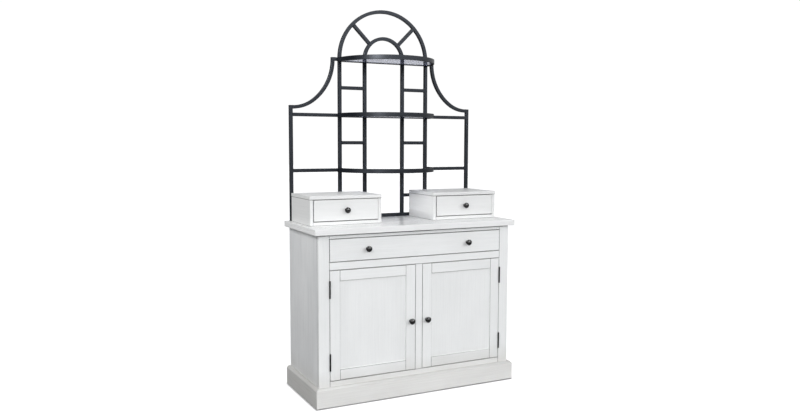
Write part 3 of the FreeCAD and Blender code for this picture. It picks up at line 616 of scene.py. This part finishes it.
# Wide drawer.
node_board("wide_drawer_front", 0, PAINT, "cabinet_paint", "wide_drawer", 0.0014, ALL_ROUND)
node_board("wide_drawer_bottom", 0, INNER, "inner_wood", "wide_drawer", 0.0004)
lo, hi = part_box("wide_drawer_box")
shape = Shape(21)
for corners in mirrored_boards((hi.x - WIDE_WALL, lo.y, lo.z), (hi.x, hi.y, hi.z)):
    board(shape, *corners, 1)
board(shape, (-hi.x + WIDE_WALL, hi.y - WIDE_WALL, lo.z + WIDE_BACK_RISE),
      (hi.x - WIDE_WALL, hi.y, hi.z), 0)
piece("wide_drawer_box_boards", shape, INNER, "inner_wood", "wide_drawer", "wide_drawer_box")

# Small drawer boxes on the counter, and their drawers.
for side, sign in SIDES:
    body = "small_drawer_" + side
    node_board("box_" + side + "_top", 0, BOX_SHADED_PAINT, "cabinet_paint", "cabinet", EASE, "-z")
    node = "box_" + side + "_carcass"
    lo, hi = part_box(node)
    x0, x1 = lo.x + BOX_WALL, hi.x - BOX_WALL
    floor_z = lo.z + BOX_FLOOR
    shape = Shape(30 + 5 * sign)
    # Only the gaps on the left, top and bottom of the drawer get the dark edge colour, where shade
    # falls: painted shade.
    board(shape, lo, (x0, hi.y, hi.z), 1, 0.0015, "+x+z-z")
    board(shape, (x1, lo.y, lo.z), hi, 1, 0.0015, "+z-z")
    board(shape, (x0, lo.y, lo.z), (x1, hi.y, floor_z), 0, 0.0015, "+z-z")
    board(shape, (x0, hi.y - BOX_BACK, floor_z), (x1, hi.y, hi.z), 0, 0.0006)
    piece(node + "_boards", shape, BOX_SHADED_PAINT, "cabinet_paint", "cabinet", node)
    node_board(body + "_front", 0, BOX_SHADED_PAINT, "cabinet_paint", body, 0.0018, "-x+z-z")
    node = body + "_box"
    lo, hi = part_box(node)
    x0, x1 = lo.x + SMALL_WALL, hi.x - SMALL_WALL
    floor_low, floor_high = (lo.z + rise for rise in SMALL_FLOOR)
    front_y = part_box(body + "_front")[1].y
    shape = Shape(40 + 5 * sign)
    board(shape, (lo.x, front_y, lo.z), (x0, hi.y, hi.z), 1, 0.001)
    board(shape, (x1, front_y, lo.z), (hi.x, hi.y, hi.z), 1, 0.001)
    board(shape, (x0, hi.y - SMALL_WALL, floor_high), (x1, hi.y, hi.z), 0, 0.001)
    board(shape, (x0, front_y, floor_low), (x1, hi.y, floor_high), 0, 0.0004)
    piece(node + "_boards", shape, INNER, "inner_wood", body, node)


# ---- Knobs, screws and bolts ----
def cross_head(shape, centre, axis, radius, dome, recess):
    """A low round screw head with a cross cut in it, lying on a surface."""
    axis, right, up = frame_round(axis)
    centre = Vector(centre)
    arm, half = radius * 0.58, radius * 0.13
    star = [(arm, -half), (arm, half), (half, half), (half, arm), (-half, arm), (-half, half),
            (-arm, half), (-arm, -half), (-half, -half), (-half, -arm), (half, -arm), (half, -half)]
    steps = 24
    verts, faces = [], []

    def ring_of(points, height):
        start = len(verts)
        verts.extend(centre + right * a + up * b + axis * height for a, b in points)
        return list(range(start, len(verts)))

    rim = ring_of(circle(radius, steps), 0.0)
    shoulder = ring_of(circle(radius * 0.93, steps), dome * 0.7)
    crown = ring_of(circle(radius * 0.70, steps), dome)
    top = ring_of(star, dome)
    floor = ring_of(star, dome - recess)
    for ring, other in ((rim, shoulder), (shoulder, crown)):
        for k in range(steps):
            m = (k + 1) % steps
            faces.append([ring[k], ring[m], other[m], other[k]])
    corners = len(star)
    for k in range(corners):
        m = (k + 1) % corners
        faces.append([top[k], top[m], floor[m], floor[k]])
    faces.append(floor)
    for k in range(corners):
        m = (k + 1) % corners
        first, second = 2 * k + steps - 1, 2 * k + steps + 1
        faces.append([crown[first % steps], crown[(first + 1) % steps], crown[second % steps],
                      top[m], top[k]])
    shape.add(verts, faces)


KNOB_OUTLINE = [(0.0100, 0.0), (0.0100, 0.0012), (0.0095, 0.0020), (0.0078, 0.0027),
                (0.0063, 0.0040), (0.0056, 0.0071), (0.0058, 0.0100), (0.0066, 0.0122),
                (0.0083, 0.0139), (0.0110, 0.0156), (0.0137, 0.0165), (0.0152, 0.0172),
                (0.0159, 0.0181), (0.0159, 0.0206), (0.0156, 0.0219), (0.0145, 0.0234),
                (0.0127, 0.0240), (0.0115, 0.0239), (0.0110, 0.0235), (0.0102, 0.0237),
                (0.0097, 0.0247), (0.0084, 0.0262), (0.0061, 0.0276), (0.0033, 0.0284),
                (0.0, 0.0286)]
knob_pieces = []


def knobs(name, places, node, body, thickness):
    """Turned knobs on faces that look along -Y, with the screw heads on the far side."""
    shape = Shape()
    heads = Shape()
    for x, y, z in places:
        turned(shape, (x, y, z), (0, -1, 0), KNOB_OUTLINE, 48)
        cross_head(heads, (x, y + thickness, z), (0, 1, 0), radius=0.004, dome=0.0024,
                   recess=0.0014)
    knob_pieces.append(piece(name, shape, KNOB, "knob_metal", body, node, sharp=60,
                             flat_faces=False))
    piece(name + "_screw_heads", heads, ZINC, "knob_metal", body, sharp=40)


drawer_lo, drawer_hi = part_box("wide_drawer_front")
drawer_knob_z = (drawer_lo.z + drawer_hi.z) / 2
knobs("wide_drawer_turned_knobs", [(x, FACE_Y, drawer_knob_z) for x in (-WIDE_KNOB_X, WIDE_KNOB_X)],
      "wide_drawer_knobs", "wide_drawer", drawer_hi.y - drawer_lo.y)
for side in ("left", "right"):
    lo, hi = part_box("door_" + side + "_knob")
    knobs("door_" + side + "_turned_knob", [((lo.x + hi.x) / 2, FACE_Y, (lo.z + hi.z) / 2)],
          "door_" + side + "_knob", "door_" + side, DOOR_THICKNESS)
    lo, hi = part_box("small_drawer_" + side + "_front")
    carcass_lo, carcass_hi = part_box("box_" + side + "_carcass")
    knob_z = (carcass_lo.z + BOX_FLOOR + carcass_hi.z) / 2
    knobs("small_drawer_" + side + "_turned_knob", [((lo.x + hi.x) / 2, lo.y, knob_z)],
          "small_drawer_" + side + "_knob", "small_drawer_" + side, hi.y - lo.y)


# ---- Hinges ----
door_lo, door_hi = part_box("door_right_frame")
HINGE_LENGTH = 0.0889
HINGE_INSET = 0.0535 + HINGE_LENGTH / 2
HINGE_X = opening_x - 0.001
HINGE_Y = FACE_Y - 0.0043
HINGE_Z = (door_lo.z - DOOR_GAP + HINGE_INSET, door_hi.z + DOOR_GAP - HINGE_INSET)
KNUCKLES = 5
LEAF = 0.0015
LEAF_GAP = 0.0003
LEAF_DEPTH = 0.0173
LEAF_SCREW_INSET = 0.012
PLAY = 0.0001


def hinge_half(shape, sign, centre, on_frame):
    """One leaf with its knuckles: the outer and middle knuckles belong to the frame's leaf."""
    inward = 1 if on_frame else -1
    low, high = centre - HINGE_LENGTH / 2, centre + HINGE_LENGTH / 2
    pitch = HINGE_LENGTH / KNUCKLES
    x_near = HINGE_X + inward * LEAF_GAP
    x_low, x_high = sorted((sign * x_near, sign * (x_near + inward * LEAF)))
    board(shape, (x_low, FACE_Y + LEAF_GAP, low), (x_high, FACE_Y + LEAF_DEPTH, high), 2,
          HINGE_EASE)
    for n in range(KNUCKLES):
        if (n % 2 == 0) != on_frame:
            continue
        z0 = low + n * pitch + PLAY
        length = pitch - 2 * PLAY
        turned(shape, (sign * HINGE_X, HINGE_Y, z0), (0, 0, 1),
               [(0.0020, 0.0), (0.0034, 0.0), (0.0040, 0.0006), (0.0040, length - 0.0006),
                (0.0034, length), (0.0020, length)], 28)
        board(shape, (x_low, HINGE_Y, z0), (x_high, FACE_Y + 0.0006, z0 + length), 2, HINGE_EASE)
    for z, depth in ((low + LEAF_SCREW_INSET, 0.0085), (centre, 0.0125),
                     (high - LEAF_SCREW_INSET, 0.0085)):
        cross_head(shape, (sign * x_near, FACE_Y + depth, z), (-sign * inward, 0, 0),
                   radius=0.0031, dome=0.00012, recess=0.0007)


PIN_HEAD = [(0.0018, -0.002), (0.0018, 0.0), (0.0030, 0.0001), (0.0032, 0.0006), (0.0029, 0.0012),
            (0.0016, 0.0016), (0.0, 0.0016)]
PIN_FOOT = [(0.0, 0.0), (0.0018, 0.0), (0.0018, 0.002)]
leaves = Shape()
pins = Shape()
for sign in (-1, 1):
    for centre in HINGE_Z:
        hinge_half(leaves, sign, centre, True)
        top, bottom = centre + HINGE_LENGTH / 2 - PLAY, centre - HINGE_LENGTH / 2
        turned(pins, (sign * HINGE_X, HINGE_Y, top), (0, 0, 1), PIN_HEAD, 28)
        turned(pins, (sign * HINGE_X, HINGE_Y, bottom), (0, 0, 1), PIN_FOOT, 20)
piece("hinge_leaves_on_frame", leaves, HINGE, "hinge_metal", "cabinet", "hinge_frame_leaves",
      sharp=35)
piece("hinge_pin_tips", pins, HINGE, "hinge_metal", "cabinet", "hinge_pins", sharp=35)
STRIKE_DROP = 0.004
STRIKE_HEIGHT = 0.016
STRIKE_THICKNESS = 0.0012
STRIKE_HALF = 0.015
for side, sign in SIDES:
    shape = Shape()
    for centre in HINGE_Z:
        hinge_half(shape, sign, centre, False)
    strike_top = door_hi.z - STRIKE_DROP
    x = sign * CATCH_X
    board(shape, (x - STRIKE_HALF, door_hi.y, strike_top - STRIKE_HEIGHT),
          (x + STRIKE_HALF, door_hi.y + STRIKE_THICKNESS, strike_top), 0, 0.0003)
    piece("door_" + side + "_hinge_leaves_and_strike", shape, HINGE, "hinge_metal", "door_" + side,
          "door_" + side + "_fittings", sharp=35)

# Magnetic catches: a housing with lugs, two steel pole plates and a screw in each lug.
LUG = 0.004
LUG_HALF = 0.020
LUG_SCREW_X = 0.016
HOUSING_HALF = 0.012
POLE_HALF = 0.010
POLE_THICKNESS = 0.0025
lo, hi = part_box("magnetic_catches")
housing = Shape()
poles = Shape()
for x in (-CATCH_X, CATCH_X):
    board(housing, (x - HOUSING_HALF, lo.y + 0.002, lo.z),
          (x + HOUSING_HALF, hi.y, hi.z - 0.0005), 0)
    board(housing, (x - LUG_HALF, lo.y + 0.003, hi.z - LUG), (x + LUG_HALF, hi.y - 0.001, hi.z), 0,
          0.0008)
    for z in (lo.z + 0.006, lo.z + 0.014):
        board(poles, (x - POLE_HALF, lo.y, z), (x + POLE_HALF, lo.y + 0.010, z + POLE_THICKNESS),
              0, 0.0003)
    for dx in (-LUG_SCREW_X, LUG_SCREW_X):
        cross_head(poles, (x + dx, (lo.y + hi.y) / 2 + 0.001, hi.z - LUG), (0, 0, -1),
                   radius=0.0026, dome=0.0012, recess=0.0008)
piece("catch_housings", housing, PLASTIC, "catch_plastic", "cabinet", "magnetic_catches")
piece("catch_pole_plates", poles, ZINC, "catch_plastic", "cabinet", sharp=40)

# Floor glides, and the plain metal parts that keep the model's own shapes.
GLIDE_RADIUS = 0.015
GLIDE_OUTLINE = [(0.0, 0.0), (GLIDE_RADIUS, 0.0), (GLIDE_RADIUS, 0.0022), (0.0142, 0.0034),
                 (0.0125, 0.0040), (0.0, 0.0040)]
glides = Shape()
lo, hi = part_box("floor_glides")
for sign in (-1, 1):
    for y in (lo.y + GLIDE_RADIUS, hi.y - GLIDE_RADIUS):
        turned(glides, (sign * (hi.x - GLIDE_RADIUS), y, hi.z), (0, 0, -1), GLIDE_OUTLINE, 32)
piece("floor_glide_pads", glides, DARK_PLASTIC, "glide_plastic", "cabinet", "floor_glides")
for name in ("slide_cabinet_members", "slide_drawer_members", "shelf_pins", "counter_bolts"):
    for material_slot in cad[name].material_slots:
        material_slot.material = ZINC


# ---- Rack ----
def tube(shape, path, end_round=0.0):
    sweep(shape, path, round_square(HALF, HALF, TUBE_CORNER), (0, 1, 0), end_round)


BEAD = 0.00105


def weld(shape, centre, axis, phase):
    """A thin uneven bead round a tube where it meets another."""
    axis = Vector(axis).normalized()
    side = Vector((0, 1, 0))
    across = side.cross(axis)
    outline = round_square(HALF + 0.0001, HALF + 0.0001, TUBE_CORNER, 5)
    verts, faces = [], []
    n = 8
    count = len(outline)
    for i, (a, b) in enumerate(outline):
        out = (across * a + side * b).normalized()
        size = (BEAD + 0.00018 * math.sin(i * 2.3 + phase)
                + 0.0001 * math.sin(i * 5.1 + 2 * phase))
        for k in range(n):
            angle = 2 * math.pi * k / n
            verts.append(Vector(centre) + across * a + side * b
                         + (out * math.cos(angle) + axis * math.sin(angle)) * size)
    for i in range(count):
        m = (i + 1) % count
        for k in range(n):
            j = (k + 1) % n
            faces.append([i * n + k, i * n + j, m * n + j, m * n + k])
    shape.add(verts, faces)


def level_tube(shape, sign, x0, x1, z, phases):
    """A level tube on one side of the rack, welded at its ends."""
    tube(shape, [(sign * x0, RACK_Y, z), (sign * x1, RACK_Y, z)])
    for x, phase in zip((x0, x1), phases):
        weld(shape, (sign * x, RACK_Y, z), (1, 0, 0), phase)


for name, node, half_width, spring in (("main_hoop_tube", "rack_main_hoop", MAIN_X, ARCH_Z),
                                       ("inner_hoop_tube", "rack_inner_hoop", INNER_X,
                                        INNER_ARCH_Z)):
    hoop = Shape()
    tube(hoop, [(-half_width, RACK_Y, BAR_TOP)] + arc(0, spring, half_width, math.pi, 0, 96)
         + [(half_width, RACK_Y, BAR_TOP)])
    for x in (-half_width, half_width):
        weld(hoop, (x, RACK_Y, BAR_TOP), (0, 0, 1), x)
    piece(name, hoop, STEEL, "rack_steel", "cabinet", node)

END_ROUND = 0.0008
posts = Shape()
post_x = OUTER_X - HALF
for sign in (-1, 1):
    tube(posts, [(sign * OUTER_X, RACK_Y, COUNTER), (sign * OUTER_X, RACK_Y, WING_START_Z + HALF)],
         END_ROUND)
piece("outer_post_tubes", posts, STEEL, "rack_steel", "cabinet", "rack_outer_posts")

bottom = Shape()
tube(bottom, [(-post_x, RACK_Y, COUNTER + HALF), (post_x, RACK_Y, COUNTER + HALF)])
for sign in (-1, 1):
    weld(bottom, (sign * post_x, RACK_Y, COUNTER + HALF), (1, 0, 0), sign)
piece("bottom_bar_tube", bottom, STEEL, "rack_steel", "cabinet", "rack_bottom_bar")

# Wing arms: two tangent arcs, level at the outer post and upright at the top.
reach = post_x - WING_END_X
rise = WING_END_Z - WING_START_Z
s, c = math.sin(WING_ANGLE), math.cos(WING_ANGLE)
determinant = s * c - (1 - s) * (1 - c)
r1 = (reach * c - rise * (1 - s)) / determinant
r2 = (rise * s - reach * (1 - c)) / determinant
arm_path = [(post_x - r1 * math.sin(t), WING_START_Z + r1 - r1 * math.cos(t))
            for t in (WING_ANGLE * k / 20 for k in range(21))]
arm_path += [(WING_END_X + r2 - r2 * math.sin(t), WING_END_Z - r2 * math.cos(t))
             for t in (WING_ANGLE + (math.pi / 2 - WING_ANGLE) * k / 24 for k in range(1, 25))]
arm_path.append((WING_END_X, WING_END_Z + HALF))
arms = Shape()
bars = Shape()
rungs = Shape()
for sign in (-1, 1):
    tube(arms, [(sign * x, RACK_Y, z) for x, z in arm_path], END_ROUND)
    weld(arms, (sign * post_x, RACK_Y, WING_START_Z), (1, 0, 0), 0.3 * sign)
    for z in SHELVES[:2]:
        level_tube(bars, sign, MAIN_X + HALF, post_x, z, (z, z + 1))
    level_tube(bars, sign, MAIN_X + HALF, WING_END_X - HALF, WING_END_Z, (2.0, 3.0))
    for z in RUNGS:
        level_tube(rungs, sign, INNER_X + HALF, MAIN_X - HALF, z, (z, z + 2))
piece("wing_arm_tubes", arms, STEEL, "rack_steel", "cabinet", "rack_wing_arms")
piece("wing_bar_tubes", bars, STEEL, "rack_steel", "cabinet", "rack_wing_bars")
piece("ladder_rung_tubes", rungs, STEEL, "rack_steel", "cabinet", "rack_rungs")

spokes = Shape()
centre = Vector((0, RACK_Y, ARCH_Z))
near, far = INNER_X + HALF - 0.0005, MAIN_X - HALF + 0.0005
for sign in (-1, 1):
    d = Vector((sign * math.sqrt(0.5), 0, math.sqrt(0.5)))
    tube(spokes, [centre + d * (near + 0.0015), centre + d * far])
    weld(spokes, centre + d * (near + 0.0022), d, 1.0)
    weld(spokes, centre + d * (far - 0.0007), d, 2.0)
piece("arch_spoke_tubes", spokes, STEEL, "rack_steel", "cabinet", "rack_spokes")


# ---- Half-round shelves ----
def front_arc(radius, cut, steps):
    """Points from left to right round the front of a shelf, a half circle cut short by an angle
    at both ends."""
    angles = [math.pi + cut + (math.pi - 2 * cut) * k / steps for k in range(steps + 1)]
    return [(radius * math.cos(angle), RACK_FRONT + radius * math.sin(angle)) for angle in angles]


def rim_line():
    """Centre line of the strip: one ear, round the front, the other ear."""
    radius = RIM_RADIUS - RIM_THICKNESS / 2
    ear_y = RACK_FRONT - RIM_THICKNESS / 2
    cut = math.asin((RIM_THICKNESS / 2 + RIM_CORNER) / radius)
    turn_x = -radius * math.cos(cut) + RIM_CORNER
    ear = [(-RIM_EAR_X, ear_y), (turn_x, ear_y)]
    ear += [(turn_x - RIM_CORNER * math.sin(t), ear_y - RIM_CORNER + RIM_CORNER * math.cos(t))
            for t in (math.pi / 2 * k / 6 for k in range(1, 6))]
    return ear + front_arc(radius, cut, 90) + [(-x, y) for x, y in ear[::-1]]


def glass_plate(shape, outline, z0, z1, ease):
    """A flat plate from a closed outline, with its top and bottom edges eased."""
    bm = bmesh.new()
    verts = [bm.verts.new((x, y, z0)) for x, y in outline]
    base = bm.faces.new(verts)
    made = bmesh.ops.extrude_face_region(bm, geom=[base])
    for v in made["geom"]:
        if isinstance(v, bmesh.types.BMVert):
            v.co.z = z1
    bmesh.ops.recalc_face_normals(bm, faces=bm.faces[:])
    level = [e for e in bm.edges if abs(e.verts[0].co.z - e.verts[1].co.z) < 1e-7]
    bevel_edges(bm, level, ease)
    shape.take(bm, 0)


def ledge_plate(shape, z0, z1):
    """The ledge under the glass: a half ring joined by a strip along the posts."""
    inner = RIM_RADIUS - RIM_THICKNESS - LEDGE_WIDTH
    bm = bmesh.new()
    loops = []
    for outline in (front_arc(RIM_RADIUS - RIM_THICKNESS + 0.0004, 0.0, 72),
                    front_arc(inner, math.asin(BACK_LEDGE / inner), 72)):
        verts = [bm.verts.new((x, y, z0)) for x, y in outline]
        loops += [bm.edges.new((verts[i], verts[(i + 1) % len(verts)])) for i in range(len(verts))]
    bmesh.ops.triangle_fill(bm, use_beauty=True, use_dissolve=False, edges=loops)
    made = bmesh.ops.extrude_face_region(bm, geom=bm.faces[:])
    for v in made["geom"]:
        if isinstance(v, bmesh.types.BMVert):
            v.co.z = z1
    bmesh.ops.recalc_face_normals(bm, faces=bm.faces[:])
    shape.take(bm, 0)


for level, z in zip(("low", "middle", "top"), SHELVES):
    rim_low = z - RIM_HEIGHT / 2
    rim = Shape()
    sweep(rim, [(x, y, z) for x, y in rim_line()],
          round_square(RIM_THICKNESS / 2, RIM_HEIGHT / 2, 0.0009, 3), (0, 0, 1))
    ledge_plate(rim, rim_low, rim_low + LEDGE_THICKNESS)
    piece("shelf_rim_strip_" + level, rim, STEEL, "rack_steel", "cabinet", "shelf_rim_" + level)
    lo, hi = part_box("shelf_glass_" + level)
    plate = Shape()
    glass_plate(plate, front_arc(hi.x, math.asin((RACK_FRONT - hi.y) / hi.x), 96), lo.z, hi.z,
                0.0007)
    piece("shelf_glass_plate_" + level, plate, GLASS, "shelf_glass", "cabinet",
          "shelf_glass_" + level, sharp=30)

BOLT_RISE = 0.0155
BOLT_HEAD = [(0.0050, 0.0), (0.0050, 0.0005), (0.0046, 0.0014), (0.0036, 0.0024),
             (0.0022, 0.0031), (0.0016, 0.0031), (0.0015, 0.0015), (0.0, 0.0015)]
bolts = Shape()
for z in SHELVES:
    for x in (-MAIN_X, MAIN_X):
        turned(bolts, (x, RACK_FRONT - RIM_THICKNESS, z - RIM_HEIGHT / 2 + BOLT_RISE), (0, -1, 0),
               BOLT_HEAD, 24)
piece("shelf_bolt_heads", bolts, STEEL, "rack_steel", "cabinet", "shelf_bolts", sharp=40,
      flat_faces=False)

# ---- Floor ----
FLOOR_REACH = 40.0
FLOOR_SHADE_WIDTH = 0.012
floor_mesh = bpy.data.meshes.new("floor")
floor_mesh.from_pydata([(x * FLOOR_REACH, y * FLOOR_REACH, 0)
                        for x, y in ((-1, -1), (1, -1), (1, 1), (-1, 1))], [], [(0, 1, 2, 3)])
floor = bpy.data.objects.new("floor", floor_mesh)
bpy.context.scene.collection.objects.link(floor)
floor_material = bpy.data.materials.new("floor_white")
ground = Tree(floor_material)
ground.shader.inputs["Base Color"].default_value = (0.9, 0.9, 0.9, 1.0)
ground.shader.inputs["Roughness"].default_value = 0.9
ground.shader.inputs["Specular IOR Level"].default_value = 0.1
ground.shader.inputs["Emission Color"].default_value = (1.0, 1.0, 1.0, 1.0)
# It glows outside the plinth's outline, so that it stays white in the cabinet's shade. The glow fades
# out towards the plinth over the shade width and is off under the cabinet: a painted contact shadow.
gap = ground.nodes.new("ShaderNodeVectorMath")
gap.operation = "ABSOLUTE"
ground.links.new(ground.coordinates("Object"), gap.inputs[0])
axes = ground.split(gap.outputs["Vector"])
beside = ground.ramp(axes["X"], plinth_hi.x, plinth_hi.x + FLOOR_SHADE_WIDTH)
before = ground.ramp(axes["Y"], -plinth_lo.y, -plinth_lo.y + FLOOR_SHADE_WIDTH)
glow_and_painted_shadow = ground.math("MULTIPLY", ground.math("MAXIMUM", beside, before), 0.55)
ground.link(glow_and_painted_shadow, "Emission Strength")
floor_mesh.materials.append(floor_material)
floor.visible_diffuse = False
floor.visible_glossy = False

# ---- Light ----
# A wide soft light in front, from the left round to the right, over a dim room.
world = bpy.data.worlds.new("studio")
bpy.context.scene.world = world
sky = Tree(world)
direction = sky.split(sky.coordinates("Generated"))
azimuth = sky.math("ARCTAN2", direction["X"], sky.math("MULTIPLY", direction["Y"], -1.0))
height = direction["Z"]


def band(low, high, soft, levels):
    """Light between two heights of the sky. levels are (bearing in degrees, strength) pairs, and
    the strength goes straight from one to the next. The bearing is 0 in front and 90 on the right.
    """
    strength = sky.nodes.new("ShaderNodeValToRGB")
    marks = strength.color_ramp.elements
    while len(marks) < len(levels):
        marks.new(0.5)
    for mark, (degrees, level) in zip(marks, levels):
        mark.position = (degrees + 180) / 360
        mark.color = (level, level * 1.005, level * 1.02, 1.0)
    sky.links.new(sky.ramp(azimuth, -math.pi, math.pi), strength.inputs["Fac"])
    inside = sky.math("MULTIPLY", sky.ramp(height, low - soft, low + soft),
                      sky.ramp(height, high + soft, high - soft))
    return inside, strength.outputs["Color"]


# The first band lies behind and below, where the glass mirrors it to the camera. The bright marks
# on the left of the next two make the highlights in the rims and the tubes.
BANDS = (
    (-0.5, 0.0, 0.05, ((90, 0.18), (125, 0.46), (180, 0.46))),
    (0.03, 0.17, 0.03, ((-100, 0.1), (-88, 0.5), (-62, 1.4), (-46, 2.4), (-41, 7.0), (-29, 7.0),
                        (-24, 3.0), (-6, 2.6), (8, 1.3), (50, 1.1), (75, 0.8), (170, 0.6))),
    (0.17, 0.40, 0.03, ((-100, 0.1), (-88, 0.5), (-62, 1.4), (-46, 2.2), (-41, 6.5), (-29, 6.5),
                        (-24, 3.2), (-5, 3.2), (30, 4.6), (60, 3.1), (80, 1.1), (170, 0.9))),
    (0.40, 0.74, 0.04, ((-100, 0.1), (-80, 0.4), (-45, 1.0), (-8, 1.4), (30, 1.5), (60, 1.2),
                        (170, 0.9))))
studio = (0.18, 0.18, 0.183)
for row in BANDS:
    inside, light = band(*row)
    studio = sky.blend(inside, studio, light)
# Straight on and through the glass, the background is white.
WHITE = (1.03, 1.03, 1.03)
path = sky.nodes.new("ShaderNodeLightPath").outputs
clear = sky.math("MAXIMUM", path["Is Camera Ray"], path["Is Transmission Ray"])
background = sky.nodes.get("Background")
sky.links.new(sky.blend(clear, studio, WHITE), background.inputs["Color"])
background.inputs["Strength"].default_value = 1.0


def lamp(name, kind, place, target, power):
    data = bpy.data.lights.new(name, kind)
    data.energy = power
    obj = bpy.data.objects.new(name, data)
    obj.location = place
    turn = (Vector(target) - Vector(place)).to_track_quat("-Z", "Y")
    obj.rotation_euler = turn.to_euler()
    bpy.context.scene.collection.objects.link(obj)
    return obj


side_fill = lamp("side_fill", "AREA", (-2.0, -0.42, 2.1), (-0.5, 0, 0.9), 21.5)
side_fill.data.shape = "DISK"
side_fill.data.size = 0.9
side_fill.visible_glossy = False
# A highlight in the knobs and the steel.
knob_lamp = lamp("knob_lamp", "AREA", (-1.9, -1.7, 2.8), (0, -0.27, 0.95), 90.0)
knob_lamp.data.shape = "DISK"
knob_lamp.data.size = 1.2
knob_lamp.visible_diffuse = False
knob_lamp.visible_transmission = False
# A long soft light above, which only the knobs mirror.
shine_lamp = lamp("shine_lamp", "AREA", (1.5, -1.85, 3.1), (0, -0.27, 0.9), 300.0)
shine_lamp.data.shape = "RECTANGLE"
shine_lamp.data.size = 2.6
shine_lamp.data.size_y = 1.0
mirrors = bpy.data.collections.new("knobs")
for obj in knob_pieces:
    mirrors.objects.link(obj)
shine_lamp.light_linking.receiver_collection = mirrors
# A narrow light on the side of the right drawer box.
box_lamp = lamp("box_lamp", "SPOT", (-1.7, -0.2, 1.65), (0.16, 0.07, 0.98), 40.0)
box_lamp.data.spot_size = math.radians(12)
box_lamp.data.spot_blend = 0.7
box_lamp.data.shadow_soft_size = 0.06

# ---- Camera ----
CAMERA_PLACE = (-1.8578, -3.722, 1.3427)
CAMERA_LENS = 33.938
YAW, PITCH_DOWN, ROLL = math.radians(26.46), math.radians(5.11), math.radians(0.16)
camera_data = bpy.data.cameras.new("camera")
camera_data.sensor_width = 36.0
camera_data.lens = CAMERA_LENS
camera = bpy.data.objects.new("camera", camera_data)
camera.location = CAMERA_PLACE
turn = (Matrix.Rotation(-YAW, 3, "Z") @ Matrix.Rotation(math.pi / 2 - PITCH_DOWN, 3, "X")
        @ Matrix.Rotation(ROLL, 3, "Z"))
camera.rotation_euler = turn.to_euler()
bpy.context.scene.collection.objects.link(camera)
bpy.context.scene.camera = camera
bpy.context.scene.view_settings.view_transform = "Standard"
